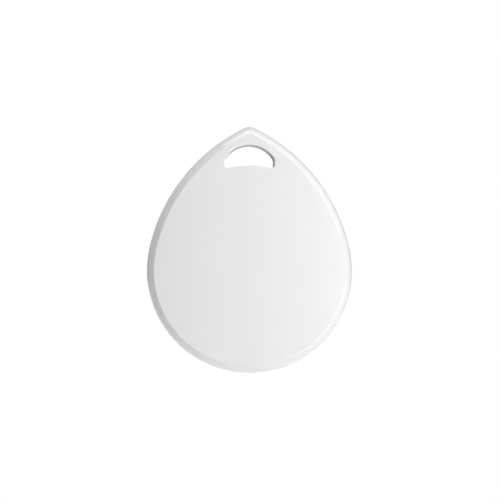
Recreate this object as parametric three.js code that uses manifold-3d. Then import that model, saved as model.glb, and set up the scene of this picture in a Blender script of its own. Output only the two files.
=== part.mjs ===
// A key-ring tracker tag: a drop-shaped white case in two welded shells around a circuit board, with a coin
// cell that sits in a twist-off door at the back, a piezo disc bonded behind the face, and a snap-dome switch
// that the face presses as it flexes.
//
// Units are millimetres. Every piece is drawn face up (x right, y up, z from the back of the case to its
// face) about the centre of the case's round body. The group at the end stands the tag up: +Z up, the face
// towards -Y, and the origin where a key ring bears, at the top of the ring hole in the middle of its depth.
import * as THREE from "three";
import { mergeVertices } from "three/addons/utils/BufferGeometryUtils.js";
import Module from "manifold-3d";

const wasm = await Module();
wasm.setup();

// ---------- driving dimensions ----------
const BODY_R = 18.5; // round body of the drop
const SIDE_R = 31.8; // shoulder arcs from the body up to the tip
const SIDE_ANGLE = 0.223; // where a shoulder arc leaves the body circle, above the equator, in radians
const TIP_R = 2.24; // rounding of the tip
const DEPTH = 8.4; // back to face
const EDGE_WIDTH = 1.3; // rounded edge of the face, seen from the front
const EDGE_START = 0.56; // its slope where it leaves the flat face in a crisp line, in radians
const BACK_ROUND = 1.0; // rounded edge of the back
const WALL = 1.6; // side wall
const FACE_WALL = 1.2;
const BACK_WALL = 1.4;
const SEAM_Z = 4.0; // parting plane of the two shells
const SEAM_GAP = 0.05; // each shell stops this short of the parting plane
const TONGUE_TOP = 4.9; // rim of the back shell that is welded into the face shell
const TONGUE_WALL = [0.85, 1.55]; // its outer and inner side, set in from the outline
const REBATE_TOP = 5.0;
const REBATE_OUT = 0.8;
const FIT = 0.1; // clearance where two pieces meet
const CLOSE_FIT = 0.05; // clearance where one piece lies on another

const HOLE_ARCH_Y = 17.46; // centre of the ring hole's arch
const HOLE_ARCH_R = 5.15;
const HOLE_SILL_R = 18.88; // the hole's lower edge is an arc about the body centre
const HOLE_HALF = 4.45; // half the width between the hole's short upright sides
const HOLE_SHOULDER_R = 1.0; // rounds where the arch meets the sides
const HOLE_CORNER_R = 0.45; // rounds where the sides meet the lower edge
const HOLE_WALL = 1.1; // sleeve around the ring hole
const CAVITY_TOP = 18.2; // the inside of the case ends beside the ring hole

const CELL_R = 10.0; // CR2032 coin cell
const CELL_H = 3.2;
const CELL_SKIN = 0.25; // sheet of its can and cap
const CAP_R = 9.15; // negative cap, inside the can
const CAP_TOP_R = 8.7;
const DOOR_R = 13.3;
const DOOR_FLANGE = 1.6; // thickness of the door's round flange
const DOOR_SEAT_R = 13.5; // recess in the back shell that the flange fills
const TRAY_IN = 10.35; // the door's tray, which holds the cell
const TRAY_OUT = 11.4;
const TRAY_TOP = 3.9;
const WELL_R = 11.7; // bore of the battery well
const WELL_TOP = 4.6;
const THREAD_LEAD = 12.0; // travel in one turn of the three-start door thread
const THREAD_STARTS = 3;
const LUG_Z = 3.3; // middle of a lug, door closed
const LUG_H = 0.7;
const LUG_OUT = 12.15;
const LUG_HALF_ANGLE = 7; // degrees
const SLOT_OUT = 12.4;
const SLOT_CLEARANCE = 0.15;
const SLOT_START = -8.5; // a slot's two ends, in degrees of the door's turn
const SLOT_END = 74;
const SEAL_R = 12.95; // O-ring in the flange's rim
const SEAL_TUBE_R = 0.45;
const SEAL_Z = 0.825; // middle of the O-ring
const COIN_SLOT = { length: 13, width: 1.8, depth: 0.9 };

const BOARD_Z = 5.25;
const BOARD_H = 0.6;
const BOARD_TOP = BOARD_Z + BOARD_H;
const SOLDER = 0.03; // gap under a soldered piece
const SCREW_RING_R = 15.2; // screws that hold the board to the face shell
const SCREW_ANGLES = [40, 140, 215, 325];
const SCREW_R = 0.55;
const SCREW_HEAD_R = 1.15;
const SCREW_HEAD_H = 0.6;
const SCREW_REACH = 1.75; // past the board
const BOSS_R = 1.7;
const CONTACT_H = 0.15; // sheet of the battery contacts

const BUZZER = { x: 0, y: -6.5, r: 7.0 };
const SWITCH = { x: 0, y: 4.5, width: 4.0, height: 3.2 };
const PRESS_PAD_H = 0.1; // pad inside the face, over the switch

const ROUND_STEPS = 48; // segments of a full turn on the door and the well
const HIDDEN_STEPS = 36; // and on round pieces that nothing shows
const PAD_H = 0.1; // adhesive under the piezo disc
const BUZZER_SHEET = 0.2; // brass disc, and the ceramic on it
const FACE_Z = DEPTH - FACE_WALL; // inner side of the face

// ---------- materials ----------
const plastic = (color, roughness) => new THREE.MeshStandardMaterial({ color, roughness, metalness: 0 });
const metal = (color, roughness) => new THREE.MeshStandardMaterial({ color, roughness, metalness: 1 });
const caseWhite = plastic(0xf1f1f2, 0.22);
const sealGrey = plastic(0x8e9196, 0.6);
const cellSteel = metal(0xc4c6c8, 0.28);
const cellSeal = plastic(0xd9d4c4, 0.5);
const contactGold = metal(0xd2ab5a, 0.3);
const boardGreen = plastic(0x14532d, 0.45);
const chipBlack = plastic(0x1b1b1d, 0.5);
const canSilver = metal(0xb9bbbd, 0.3);
const ceramicWhite = plastic(0xe4dfd2, 0.45);
const capacitorTan = plastic(0xa98e68, 0.5);
const resistorBlack = plastic(0x202022, 0.4);
const buzzerBrass = metal(0xc9a24a, 0.32);
const switchCream = plastic(0xdedad0, 0.5);
const screwSteel = metal(0x9a9ca0, 0.35);
const adhesive = plastic(0x2a2a2c, 0.8);
const cathodeBlack = plastic(0x2b2a29, 0.9);
const separatorWhite = plastic(0xe8e6e0, 0.8);
const lithiumGrey = metal(0x8f9295, 0.6);

// ---------- from three.js geometry to solids and back ----------
function solid(geometry) {
  const bare = geometry.index ? geometry.toNonIndexed() : geometry.clone();
  bare.deleteAttribute("normal");
  bare.deleteAttribute("uv");
  const merged = mergeVertices(bare, 1e-4);
  return new wasm.Manifold(
    new wasm.Mesh({
      numProp: 3,
      vertProperties: merged.attributes.position.array,
      triVerts: new Uint32Array(merged.index.array),
    }),
  );
}

function named(name, body, material) {
  const { vertProperties, triVerts } = body.getMesh();
  const geometry = new THREE.BufferGeometry();
  geometry.setAttribute("position", new THREE.BufferAttribute(new Float32Array(vertProperties), 3));
  geometry.setIndex(new THREE.BufferAttribute(new Uint32Array(triVerts), 1));
  geometry.computeVertexNormals();
  const mesh = new THREE.Mesh(geometry, material);
  mesh.name = name;
  return mesh;
}

const union = (...bodies) => bodies.reduce((sum, body) => sum.add(body));

function extrude(shape, low, high) {
  const geometry = new THREE.ExtrudeGeometry(shape, { depth: high - low, bevelEnabled: false });
  return solid(geometry.translate(0, 0, low));
}

function block(width, height, low, high, x = 0, y = 0) {
  return solid(new THREE.BoxGeometry(width, height, high - low).translate(x, y, (low + high) / 2));
}

function rod(radius, low, high, x = 0, y = 0, steps = 16) {
  const geometry = new THREE.CylinderGeometry(radius, radius, high - low, steps).rotateX(Math.PI / 2);
  return solid(geometry.translate(x, y, (low + high) / 2));
}

// A profile of [radius, z] points, counter-clockwise with z up the page, turned about the z axis.
function turned(profile, steps = ROUND_STEPS) {
  const points = profile.map(([radius, z]) => new THREE.Vector2(radius, z));
  if (profile[0][0] > 0) points.push(points[0].clone());
  return solid(new THREE.LatheGeometry(points, steps).rotateX(Math.PI / 2));
}

const polar = (radius, degrees) => {
  const angle = THREE.MathUtils.degToRad(degrees);
  return [radius * Math.cos(angle), radius * Math.sin(angle)];
};

// ---------- outlines ----------
function arc(points, x, y, radius, from, to, steps) {
  for (let i = 0; i < steps; i++) {
    const angle = from + ((to - from) * i) / steps;
    points.push(new THREE.Vector2(x + radius * Math.cos(angle), y + radius * Math.sin(angle)));
  }
}

// The drop, set in from the outside by inset. Points of every inset match one to one.
function dropPoints(inset) {
  const sideX = (BODY_R - SIDE_R) * Math.cos(SIDE_ANGLE);
  const sideY = (BODY_R - SIDE_R) * Math.sin(SIDE_ANGLE);
  const tipY = sideY + Math.sqrt((SIDE_R - TIP_R) ** 2 - sideX ** 2);
  const tipAngle = Math.atan2(tipY - sideY, -sideX);
  const points = [];
  arc(points, 0, 0, BODY_R - inset, Math.PI - SIDE_ANGLE, 2 * Math.PI + SIDE_ANGLE, 36);
  arc(points, sideX, sideY, SIDE_R - inset, SIDE_ANGLE, tipAngle, 12);
  arc(points, 0, tipY, TIP_R - inset, tipAngle, Math.PI - tipAngle, 5);
  arc(points, -sideX, sideY, SIDE_R - inset, Math.PI - tipAngle, Math.PI - SIDE_ANGLE, 12);
  return points;
}

// The ring hole, larger all round by grow. An arch stands over short upright sides and a sill that curves
// with the body.
function ringHole(grow = 0) {
  const shoulderX = HOLE_HALF - HOLE_SHOULDER_R;
  const shoulderY = HOLE_ARCH_Y + Math.sqrt((HOLE_ARCH_R - HOLE_SHOULDER_R) ** 2 - shoulderX ** 2);
  const archAngle = Math.atan2(shoulderY - HOLE_ARCH_Y, shoulderX);
  const cornerX = HOLE_HALF - HOLE_CORNER_R;
  const cornerY = Math.sqrt((HOLE_SILL_R + HOLE_CORNER_R) ** 2 - cornerX ** 2);
  const sillAngle = Math.atan2(cornerY, cornerX);
  const shoulder = HOLE_SHOULDER_R + grow;
  const corner = HOLE_CORNER_R + grow;
  const points = [];
  arc(points, 0, HOLE_ARCH_Y, HOLE_ARCH_R + grow, archAngle, Math.PI - archAngle, 14);
  arc(points, -shoulderX, shoulderY, shoulder, Math.PI - archAngle, Math.PI, 4);
  arc(points, -cornerX, cornerY, corner, Math.PI, 2 * Math.PI - sillAngle, 5);
  arc(points, 0, 0, HOLE_SILL_R - grow, Math.PI - sillAngle, sillAngle, 8);
  arc(points, cornerX, cornerY, corner, Math.PI + sillAngle, 2 * Math.PI, 5);
  arc(points, shoulderX, shoulderY, shoulder, 0, archAngle, 4);
  return new THREE.Shape(points);
}

// A profile of [inset, z] points carried round the drop. With caps it is a filled body whose profile runs
// from the back to the face. Without them the profile is a closed loop and the body is a ring.
function swept(profile, caps) {
  const rings = profile.map(([inset, z]) => dropPoints(inset).map((p) => [p.x, p.y, z]));
  const around = rings[0].length;
  const triangles = [];
  const lastBand = caps ? rings.length - 1 : rings.length;
  for (let k = 0; k < lastBand; k++) {
    const low = rings[k];
    const high = rings[(k + 1) % rings.length];
    for (let i = 0; i < around; i++) {
      const j = (i + 1) % around;
      triangles.push(low[i], low[j], high[j], low[i], high[j], high[i]);
    }
  }
  if (caps) {
    const top = rings[rings.length - 1];
    for (let i = 0; i < around; i++) {
      const j = (i + 1) % around;
      triangles.push([0, 0, rings[0][0][2]], rings[0][j], rings[0][i]);
      triangles.push([0, 0, top[0][2]], top[i], top[j]);
    }
  }
  const geometry = new THREE.BufferGeometry();
  geometry.setAttribute("position", new THREE.Float32BufferAttribute(triangles.flat(), 3));
  return solid(geometry);
}

// A bar of rectangular section on the door's thread, from one turn of the door to another, in degrees.
function threadBar(start, inner, outer, halfHeight, fromTurn, toTurn) {
  const steps = Math.max(2, Math.ceil((toTurn - fromTurn) / 4));
  const sections = [];
  for (let i = 0; i <= steps; i++) {
    const turn = fromTurn + ((toTurn - fromTurn) * i) / steps;
    const middle = LUG_Z - (THREAD_LEAD * turn) / 360;
    const [cos, sin] = polar(1, start - turn);
    const corner = (radius, z) => [radius * cos, radius * sin, z];
    sections.push([
      corner(inner, middle - halfHeight),
      corner(outer, middle - halfHeight),
      corner(outer, middle + halfHeight),
      corner(inner, middle + halfHeight),
    ]);
  }
  const triangles = [];
  const quad = (a, b, c, d) => triangles.push(a, b, c, a, c, d);
  for (let i = 0; i < steps; i++)
    for (let k = 0; k < 4; k++) {
      const next = (k + 1) % 4;
      quad(sections[i][k], sections[i][next], sections[i + 1][next], sections[i + 1][k]);
    }
  quad(...sections[steps]);
  quad(...sections[0].toReversed());
  const geometry = new THREE.BufferGeometry();
  geometry.setAttribute("position", new THREE.Float32BufferAttribute(triangles.flat(), 3));
  return solid(geometry);
}

const threadStarts = () => Array.from({ length: THREAD_STARTS }, (_, i) => 90 + (i * 360) / THREAD_STARTS);

// ---------- case ----------
// The rounded outside of the closed case, from the back to the face.
function caseOutside() {
  const steps = 4;
  const profile = [];
  for (let i = 0; i <= steps; i++) {
    const angle = ((Math.PI / 2) * i) / steps;
    profile.push([BACK_ROUND * (1 - Math.sin(angle)), BACK_ROUND * (1 - Math.cos(angle))]);
  }
  const edgeR = EDGE_WIDTH / (1 - Math.sin(EDGE_START));
  const edgeZ = DEPTH - edgeR * Math.cos(EDGE_START);
  for (let i = 0; i <= steps; i++) {
    const angle = Math.PI / 2 - ((Math.PI / 2 - EDGE_START) * i) / steps;
    profile.push([edgeR * (1 - Math.sin(angle)), edgeZ + edgeR * Math.cos(angle)]);
  }
  return swept(profile, true);
}

// The space inside the side wall, below and beside the ring hole's sleeve.
function insideCase(inset, sleeve, top, low, high) {
  const room = swept([[inset, low], [inset, high]], true);
  const above = block(4 * BODY_R, BODY_R, low - 1, high + 1, 0, top + BODY_R / 2);
  return room.subtract(above).subtract(extrude(ringHole(sleeve), low - 1, high + 1));
}

const rimRing = (outer, inner, low, high) =>
  swept([[inner, low], [outer, low], [outer, high], [inner, high]], false);

function faceShell() {
  const half = block(4 * BODY_R, 4 * BODY_R, SEAM_Z + SEAM_GAP, DEPTH + 1);
  const holeCut = extrude(ringHole(), -1, DEPTH + 1);
  let shell = caseOutside().intersect(half);
  shell = shell.subtract(insideCase(WALL, HOLE_WALL, CAVITY_TOP, SEAM_Z - 1, FACE_Z));
  shell = shell.subtract(rimRing(REBATE_OUT, WALL + CLOSE_FIT, SEAM_Z - 1, REBATE_TOP));
  for (const degrees of SCREW_ANGLES) {
    const [x, y] = polar(SCREW_RING_R, degrees);
    shell = shell.add(rod(BOSS_R, BOARD_TOP + CLOSE_FIT, FACE_Z + 0.2, x, y, 20));
    shell = shell.subtract(rod(SCREW_R + CLOSE_FIT, BOARD_TOP, BOARD_TOP + SCREW_REACH + FIT, x, y, 12));
  }
  const pressPad = rod(1.2, FACE_Z - PRESS_PAD_H, FACE_Z + 0.2, SWITCH.x, SWITCH.y, 20);
  return shell.add(pressPad).subtract(holeCut);
}

function backShell() {
  const half = block(4 * BODY_R, 4 * BODY_R, -1, SEAM_Z - SEAM_GAP);
  let shell = caseOutside().intersect(half);
  shell = shell.subtract(insideCase(WALL, HOLE_WALL, CAVITY_TOP, BACK_WALL, SEAM_Z + 1));
  shell = shell.add(rimRing(TONGUE_WALL[0], TONGUE_WALL[1], SEAM_Z - 0.6, TONGUE_TOP));
  shell = shell.subtract(rod(DOOR_SEAT_R, -1, BACK_WALL + 1, 0, 0, ROUND_STEPS));
  const seatFloor = DOOR_FLANGE + FIT;
  const seatWall = DOOR_SEAT_R + 1.2;
  const wellWall = DOOR_SEAT_R - 0.2;
  shell = shell.add(
    turned([
      [DOOR_SEAT_R, BACK_WALL - 1],
      [seatWall, BACK_WALL - 1],
      [seatWall, seatFloor + 0.9],
      [wellWall, seatFloor + 0.9],
      [wellWall, WELL_TOP],
      [WELL_R, WELL_TOP],
      [WELL_R, seatFloor],
      [DOOR_SEAT_R, seatFloor],
    ]),
  );
  const slotHalfHeight = LUG_H / 2 + SLOT_CLEARANCE;
  for (const start of threadStarts())
    shell = shell.subtract(threadBar(start, WELL_R - 0.4, SLOT_OUT, slotHalfHeight, SLOT_START, SLOT_END));
  return shell.subtract(extrude(ringHole(), -1, DEPTH + 1));
}

// ---------- door, seal and coin cell ----------
function batteryDoor() {
  const grooveLow = SEAL_Z - SEAL_TUBE_R - CLOSE_FIT;
  const grooveHigh = SEAL_Z + SEAL_TUBE_R + CLOSE_FIT;
  const grooveR = SEAL_R - SEAL_TUBE_R - CLOSE_FIT;
  let door = turned([
    [0, 0],
    [DOOR_R - 0.15, 0],
    [DOOR_R, 0.15],
    [DOOR_R, grooveLow],
    [grooveR, grooveLow],
    [grooveR, grooveHigh],
    [DOOR_R, grooveHigh],
    [DOOR_R, DOOR_FLANGE],
    [TRAY_OUT, DOOR_FLANGE],
    [TRAY_OUT, TRAY_TOP],
    [TRAY_IN, TRAY_TOP],
    [TRAY_IN, DOOR_FLANGE],
    [0, DOOR_FLANGE],
  ]);
  for (const start of threadStarts())
    door = door.add(threadBar(start, TRAY_OUT - 0.2, LUG_OUT, LUG_H / 2, -LUG_HALF_ANGLE, LUG_HALF_ANGLE));
  const { length, width, depth } = COIN_SLOT;
  const ends = (length - width) / 2;
  const coinSlot = union(
    block(2 * ends, width, -1, depth),
    rod(width / 2, -1, depth, ends, 0, 12),
    rod(width / 2, -1, depth, -ends, 0, 12),
  );
  return door.subtract(coinSlot);
}

function doorSeal() {
  const steps = 8;
  const section = [];
  for (let i = 0; i < steps; i++) {
    const angle = (2 * Math.PI * i) / steps;
    section.push([SEAL_R + SEAL_TUBE_R * Math.cos(angle), SEAL_Z + SEAL_TUBE_R * Math.sin(angle)]);
  }
  return turned(section);
}

const CELL_Z = DOOR_FLANGE + FIT; // the cell's positive face lies on the door
const CAP_RIM_Z = CELL_Z + 0.55;
const CAP_TOP_Z = CELL_Z + CELL_H;
const CAP_SHOULDER_Z = CELL_Z + 2.3;

function cellCan() {
  const wall = CELL_R - CELL_SKIN;
  return turned(
    [
      [0, CELL_Z],
      [CELL_R - 0.3, CELL_Z],
      [CELL_R, CELL_Z + 0.3],
      [CELL_R, CELL_Z + 2.55],
      [CELL_R - 0.4, CELL_Z + 2.85],
      [CELL_R - 0.65, CELL_Z + 2.85],
      [CELL_R - 0.65, CELL_Z + 2.7],
      [wall, CELL_Z + 2.45],
      [wall, CELL_Z + CELL_SKIN],
      [0, CELL_Z + CELL_SKIN],
    ],
    HIDDEN_STEPS,
  );
}

function cellCap() {
  const shoulder = CAP_R - CAP_TOP_R;
  const inside = CAP_TOP_Z - CELL_SKIN;
  return turned(
    [
      [0, inside],
      [CAP_TOP_R - CELL_SKIN, inside],
      [CAP_TOP_R - CELL_SKIN, CAP_SHOULDER_Z + shoulder - 0.07],
      [CAP_R - CELL_SKIN, CAP_SHOULDER_Z - 0.07],
      [CAP_R - CELL_SKIN, CAP_RIM_Z],
      [CAP_R, CAP_RIM_Z],
      [CAP_R, CAP_SHOULDER_Z],
      [CAP_TOP_R, CAP_SHOULDER_Z + shoulder],
      [CAP_TOP_R, CAP_TOP_Z],
      [0, CAP_TOP_Z],
    ],
    HIDDEN_STEPS,
  );
}

const cellGrommet = () =>
  turned(
    [
      [CAP_R + CLOSE_FIT, CELL_Z + 0.35],
      [CELL_R - 0.3, CELL_Z + 0.35],
      [CELL_R - 0.3, CELL_Z + 2.4],
      [CELL_R - 0.7, CELL_Z + 2.66],
      [CELL_R - 0.7, CELL_Z + 2.95],
      [CAP_TOP_R + FIT, CELL_Z + 2.95],
      [CAP_TOP_R + FIT, CELL_Z + 2.75],
      [CAP_R + CLOSE_FIT, CELL_Z + 2.35],
    ],
    HIDDEN_STEPS,
  );

// The pressed pellet in the can, the felt on it, and the lithium disc in the cap.
const CATHODE_Z = [CELL_Z + CELL_SKIN + CLOSE_FIT, CELL_Z + 1.75];
const SEPARATOR_Z = [CATHODE_Z[1] + CLOSE_FIT, CELL_Z + 1.9];
const ANODE_Z = [SEPARATOR_Z[1] + CLOSE_FIT, CAP_TOP_Z - CELL_SKIN - CLOSE_FIT];
const cellDisc = (radius, [low, high]) => rod(radius, low, high, 0, 0, HIDDEN_STEPS);

// ---------- board and its contacts ----------
function mainBoard() {
  let board = insideCase(WALL + 0.3, HOLE_WALL + 0.3, CAVITY_TOP - 0.4, BOARD_Z, BOARD_TOP);
  for (const degrees of SCREW_ANGLES) {
    const [x, y] = polar(SCREW_RING_R, degrees);
    board = board.subtract(rod(SCREW_R + 0.15, BOARD_Z - 1, BOARD_TOP + 1, x, y, 12));
  }
  return board;
}

// A bent strip: a centre line of [x, z] points given thickness, and extruded across y.
function bentStrip(line, thickness, width) {
  const half = thickness / 2;
  const centre = line.map(([x, z]) => new THREE.Vector2(x, z));
  const normalAt = (i) => {
    const back = centre[Math.max(0, i - 1)];
    const ahead = centre[Math.min(centre.length - 1, i + 1)];
    return ahead.clone().sub(back).normalize().rotateAround(new THREE.Vector2(), Math.PI / 2);
  };
  const side = (offset) => centre.map((p, i) => p.clone().addScaledVector(normalAt(i), offset));
  const outline = new THREE.Shape([...side(-half), ...side(half).reverse()]);
  const flat = new THREE.ExtrudeGeometry(outline, { depth: width, bevelEnabled: false });
  return solid(flat.rotateX(Math.PI / 2).translate(0, width / 2, 0));
}

const CONTACT_Z = BOARD_Z - SOLDER - CONTACT_H / 2; // middle of a contact's soldered foot

// Spring finger under the board that bears on the cell's negative cap.
function negativeContact() {
  const touch = CAP_TOP_Z + CLOSE_FIT + CONTACT_H / 2;
  const line = [
    [-5.5, CONTACT_Z],
    [-2.6, CONTACT_Z],
    [-1.2, CONTACT_Z - 0.03],
    [0.6, touch + 0.03],
    [1.6, touch],
    [2.6, touch],
    [3.4, touch + 0.05],
  ];
  return bentStrip(line, CONTACT_H, 3.0);
}

// Angled tab under the board that bears on the side of the cell's can.
function positiveContact() {
  const inner = CELL_R + 0.06;
  const high = CONTACT_Z + CONTACT_H / 2;
  const foot = block(2.6, 4.2, high - CONTACT_H, high, inner + 1.3, 0);
  const tab = block(0.2, 4.2, TRAY_TOP + 0.15, high, inner + 0.1, 0);
  return foot.add(tab);
}

// ---------- pieces soldered to the front of the board ----------
const ON_BOARD = BOARD_TOP + SOLDER;
const chip = (width, height, tall, x, y) => block(width, height, ON_BOARD, ON_BOARD + tall, x, y);

function radioChip() {
  const pinOne = rod(0.25, ON_BOARD + 0.75, ON_BOARD + 1, -9.2, 7.2, 10);
  return chip(5, 5, 0.8, -7.5, 5.5).subtract(pinOne);
}

// A three-lead transistor: a moulded block with a lead on one side and two on the other.
function buzzerDriver(x, y) {
  let body = block(1.3, 2.9, ON_BOARD + 0.1, ON_BOARD + 0.95, x, y);
  for (const [side, offset] of [[1, 0], [-1, 0.95], [-1, -0.95]]) {
    body = body.add(block(0.75, 0.4, ON_BOARD, ON_BOARD + 0.15, x + side * 0.85, y + offset));
    body = body.add(block(0.25, 0.4, ON_BOARD, ON_BOARD + 0.5, x + side * 0.7, y + offset));
  }
  return body;
}

function boostInductor(x, y) {
  const side = 3.0;
  let body = chip(side, side, 1.0, x, y);
  for (const [right, up] of [[1, 1], [1, -1], [-1, 1], [-1, -1]]) {
    const corner = new THREE.BoxGeometry(0.7, 0.7, 3).rotateZ(Math.PI / 4);
    body = body.subtract(solid(corner.translate(x + (right * side) / 2, y + (up * side) / 2, BOARD_TOP)));
  }
  return body;
}

const CAPACITORS = [[-3.2, 9.2], [-1.2, 9.2], [-11.4, 5.6], [-4.0, 1.4], [5.0, 9.6], [11.2, 1.2]];
const RESISTORS = [[3.4, 13.0], [1.2, 13.0], [-11.4, 0.6]];

// ---------- snap-dome switch ----------
const DOME_Z = ON_BOARD + 0.3; // floor of the switch's well
const PLUNGER_Z = DOME_Z + 0.35;
const COVER_Z = ON_BOARD + 0.78;

function switchBase() {
  const { x, y, width, height } = SWITCH;
  const well = rod(1.3, DOME_Z, COVER_Z + 1, x, y, 24);
  return block(width, height, ON_BOARD, COVER_Z - 0.03, x, y).subtract(well);
}

function switchDome() {
  const steps = 5;
  const rise = 0.26;
  const top = [];
  for (let i = 0; i <= steps; i++) {
    const share = i / steps;
    top.push([1.15 * share, DOME_Z + 0.04 + rise * (1 - share ** 2)]);
  }
  const skin = 0.06;
  const under = top.slice(0, -1).map(([r, z]) => [r, z - skin + 0.03 * (r / 1.15)]);
  return turned([...under, ...top.reverse()], 16).translate(SWITCH.x, SWITCH.y, 0);
}

function switchPlunger() {
  const profile = [[0, PLUNGER_Z], [1.15, PLUNGER_Z], [1.15, PLUNGER_Z + 0.1], [0.8, PLUNGER_Z + 0.1],
    [0.8, FACE_Z - 0.2], [0.7, FACE_Z - 0.15], [0, FACE_Z - 0.15]];
  return turned(profile, 16).translate(SWITCH.x, SWITCH.y, 0);
}

function switchCover() {
  const { x, y, width, height } = SWITCH;
  let cover = block(width + 0.3, height - 0.4, COVER_Z, COVER_Z + 0.12, x, y);
  cover = cover.subtract(rod(0.88, COVER_Z - 1, COVER_Z + 1, x, y, 24));
  for (const side of [-1, 1]) {
    const clipX = x + side * (width / 2 + 0.1);
    cover = cover.add(block(0.1, height - 1.4, ON_BOARD + 0.15, COVER_Z + 0.12, clipX, y));
  }
  return cover;
}

// ---------- piezo buzzer ----------
const PAD_Z = FACE_Z - 0.02 - PAD_H; // underside of the adhesive ring
const PLATE_Z = PAD_Z - 0.02 - BUZZER_SHEET;
const CERAMIC_Z = PLATE_Z - 0.02 - BUZZER_SHEET;

const buzzerDisc = (radius, low, depth) => rod(radius, low, low + depth, BUZZER.x, BUZZER.y, HIDDEN_STEPS);
const buzzerPad = () => buzzerDisc(BUZZER.r, PAD_Z, PAD_H).subtract(buzzerDisc(BUZZER.r - 1.2, PAD_Z - 1, 2));

// A spring leaf from the board up to the piezo disc.
function buzzerContact(x, y, top) {
  const foot = ON_BOARD + 0.05;
  const line = [[-1.0, foot], [0.7, foot], [0.95, foot + 0.11], [0.7, foot + 0.25], [-0.4, top - 0.12],
    [-0.9, top - 0.06]];
  return bentStrip(line, 0.08, 1.2).translate(x, y, 0);
}

// ---------- board screws ----------
// Pan-head screws from the back of the board into the face shell's bosses.
function boardScrew(degrees) {
  const [x, y] = polar(SCREW_RING_R, degrees);
  const head = BOARD_Z - 0.03;
  const screw = turned(
    [[0, head - SCREW_HEAD_H], [0.75, head - SCREW_HEAD_H], [SCREW_HEAD_R, head - 0.35], [SCREW_HEAD_R, head],
      [SCREW_R, head], [SCREW_R, BOARD_TOP + SCREW_REACH - 0.5], [0.15, BOARD_TOP + SCREW_REACH],
      [0, BOARD_TOP + SCREW_REACH]],
    16,
  );
  const recess = (width, height) => block(width, height, head - SCREW_HEAD_H - 1, head - 0.3);
  return screw.subtract(recess(1.0, 0.24)).subtract(recess(0.24, 1.0)).translate(x, y, 0);
}

// ---------- the tag ----------
const tag = new THREE.Group();
const add = (name, body, material) => tag.add(named(name, body, material));

add("face_shell", faceShell(), caseWhite);
add("back_shell", backShell(), caseWhite);
add("battery_door", batteryDoor(), caseWhite);
add("door_seal", doorSeal(), sealGrey);
add("cell_can", cellCan(), cellSteel);
add("cell_cap", cellCap(), cellSteel);
add("cell_grommet", cellGrommet(), cellSeal);
add("cell_cathode", cellDisc(8.6, CATHODE_Z), cathodeBlack);
add("cell_separator", cellDisc(8.8, SEPARATOR_Z), separatorWhite);
add("cell_anode", cellDisc(8.3, ANODE_Z), lithiumGrey);

add("main_board", mainBoard(), boardGreen);
add("negative_contact", negativeContact(), contactGold);
add("positive_contact", positiveContact(), contactGold);
add("radio_chip", radioChip(), chipBlack);
add("radio_crystal", chip(2.0, 1.6, 0.5, -7.5, 1.4), canSilver);
add("clock_crystal", chip(3.2, 1.5, 0.75, -7.0, 10.4), canSilver);
add("chip_antenna", chip(3.2, 1.6, 0.9, 0, -15.2), ceramicWhite);
add("buzzer_driver", buzzerDriver(6.4, 3.0), chipBlack);
add("boost_inductor", boostInductor(9.6, 5.2), chipBlack);
CAPACITORS.forEach(([x, y], i) => add(`capacitor_${i + 1}`, chip(0.8, 1.6, 0.7, x, y), capacitorTan));
RESISTORS.forEach(([x, y], i) => add(`resistor_${i + 1}`, chip(0.8, 1.6, 0.45, x, y), resistorBlack));

add("switch_base", switchBase(), switchCream);
add("switch_dome", switchDome(), canSilver);
add("switch_plunger", switchPlunger(), chipBlack);
add("switch_cover", switchCover(), canSilver);

add("buzzer_pad", buzzerPad(), adhesive);
add("buzzer_plate", buzzerDisc(BUZZER.r, PLATE_Z, BUZZER_SHEET), buzzerBrass);
add("buzzer_ceramic", buzzerDisc(5.0, CERAMIC_Z, BUZZER_SHEET), ceramicWhite);
add("buzzer_contact_1", buzzerContact(-3.0, BUZZER.y, CERAMIC_Z), contactGold);
add("buzzer_contact_2", buzzerContact(BUZZER.r - 1.0, BUZZER.y, PLATE_Z), contactGold);
SCREW_ANGLES.forEach((degrees, i) => add(`board_screw_${i + 1}`, boardScrew(degrees), screwSteel));

// Stand the tag up about the point where a key ring bears.
const ringY = HOLE_ARCH_Y + HOLE_ARCH_R;
tag.rotation.x = Math.PI / 2;
tag.position.set(0, DEPTH / 2, -ringY);

export default tag;
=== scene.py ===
# A drop-shaped key-ring tracker tag, from its white case down to the parts on its circuit board.
# Sizes are in millimetres in case coordinates: x to the right of the face, y up from the centre of the round
# body, z from the back of the case to its face. place() puts such a point into the frame, in metres.
import math

import bmesh
import bpy
from mathutils import Matrix, Vector


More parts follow.
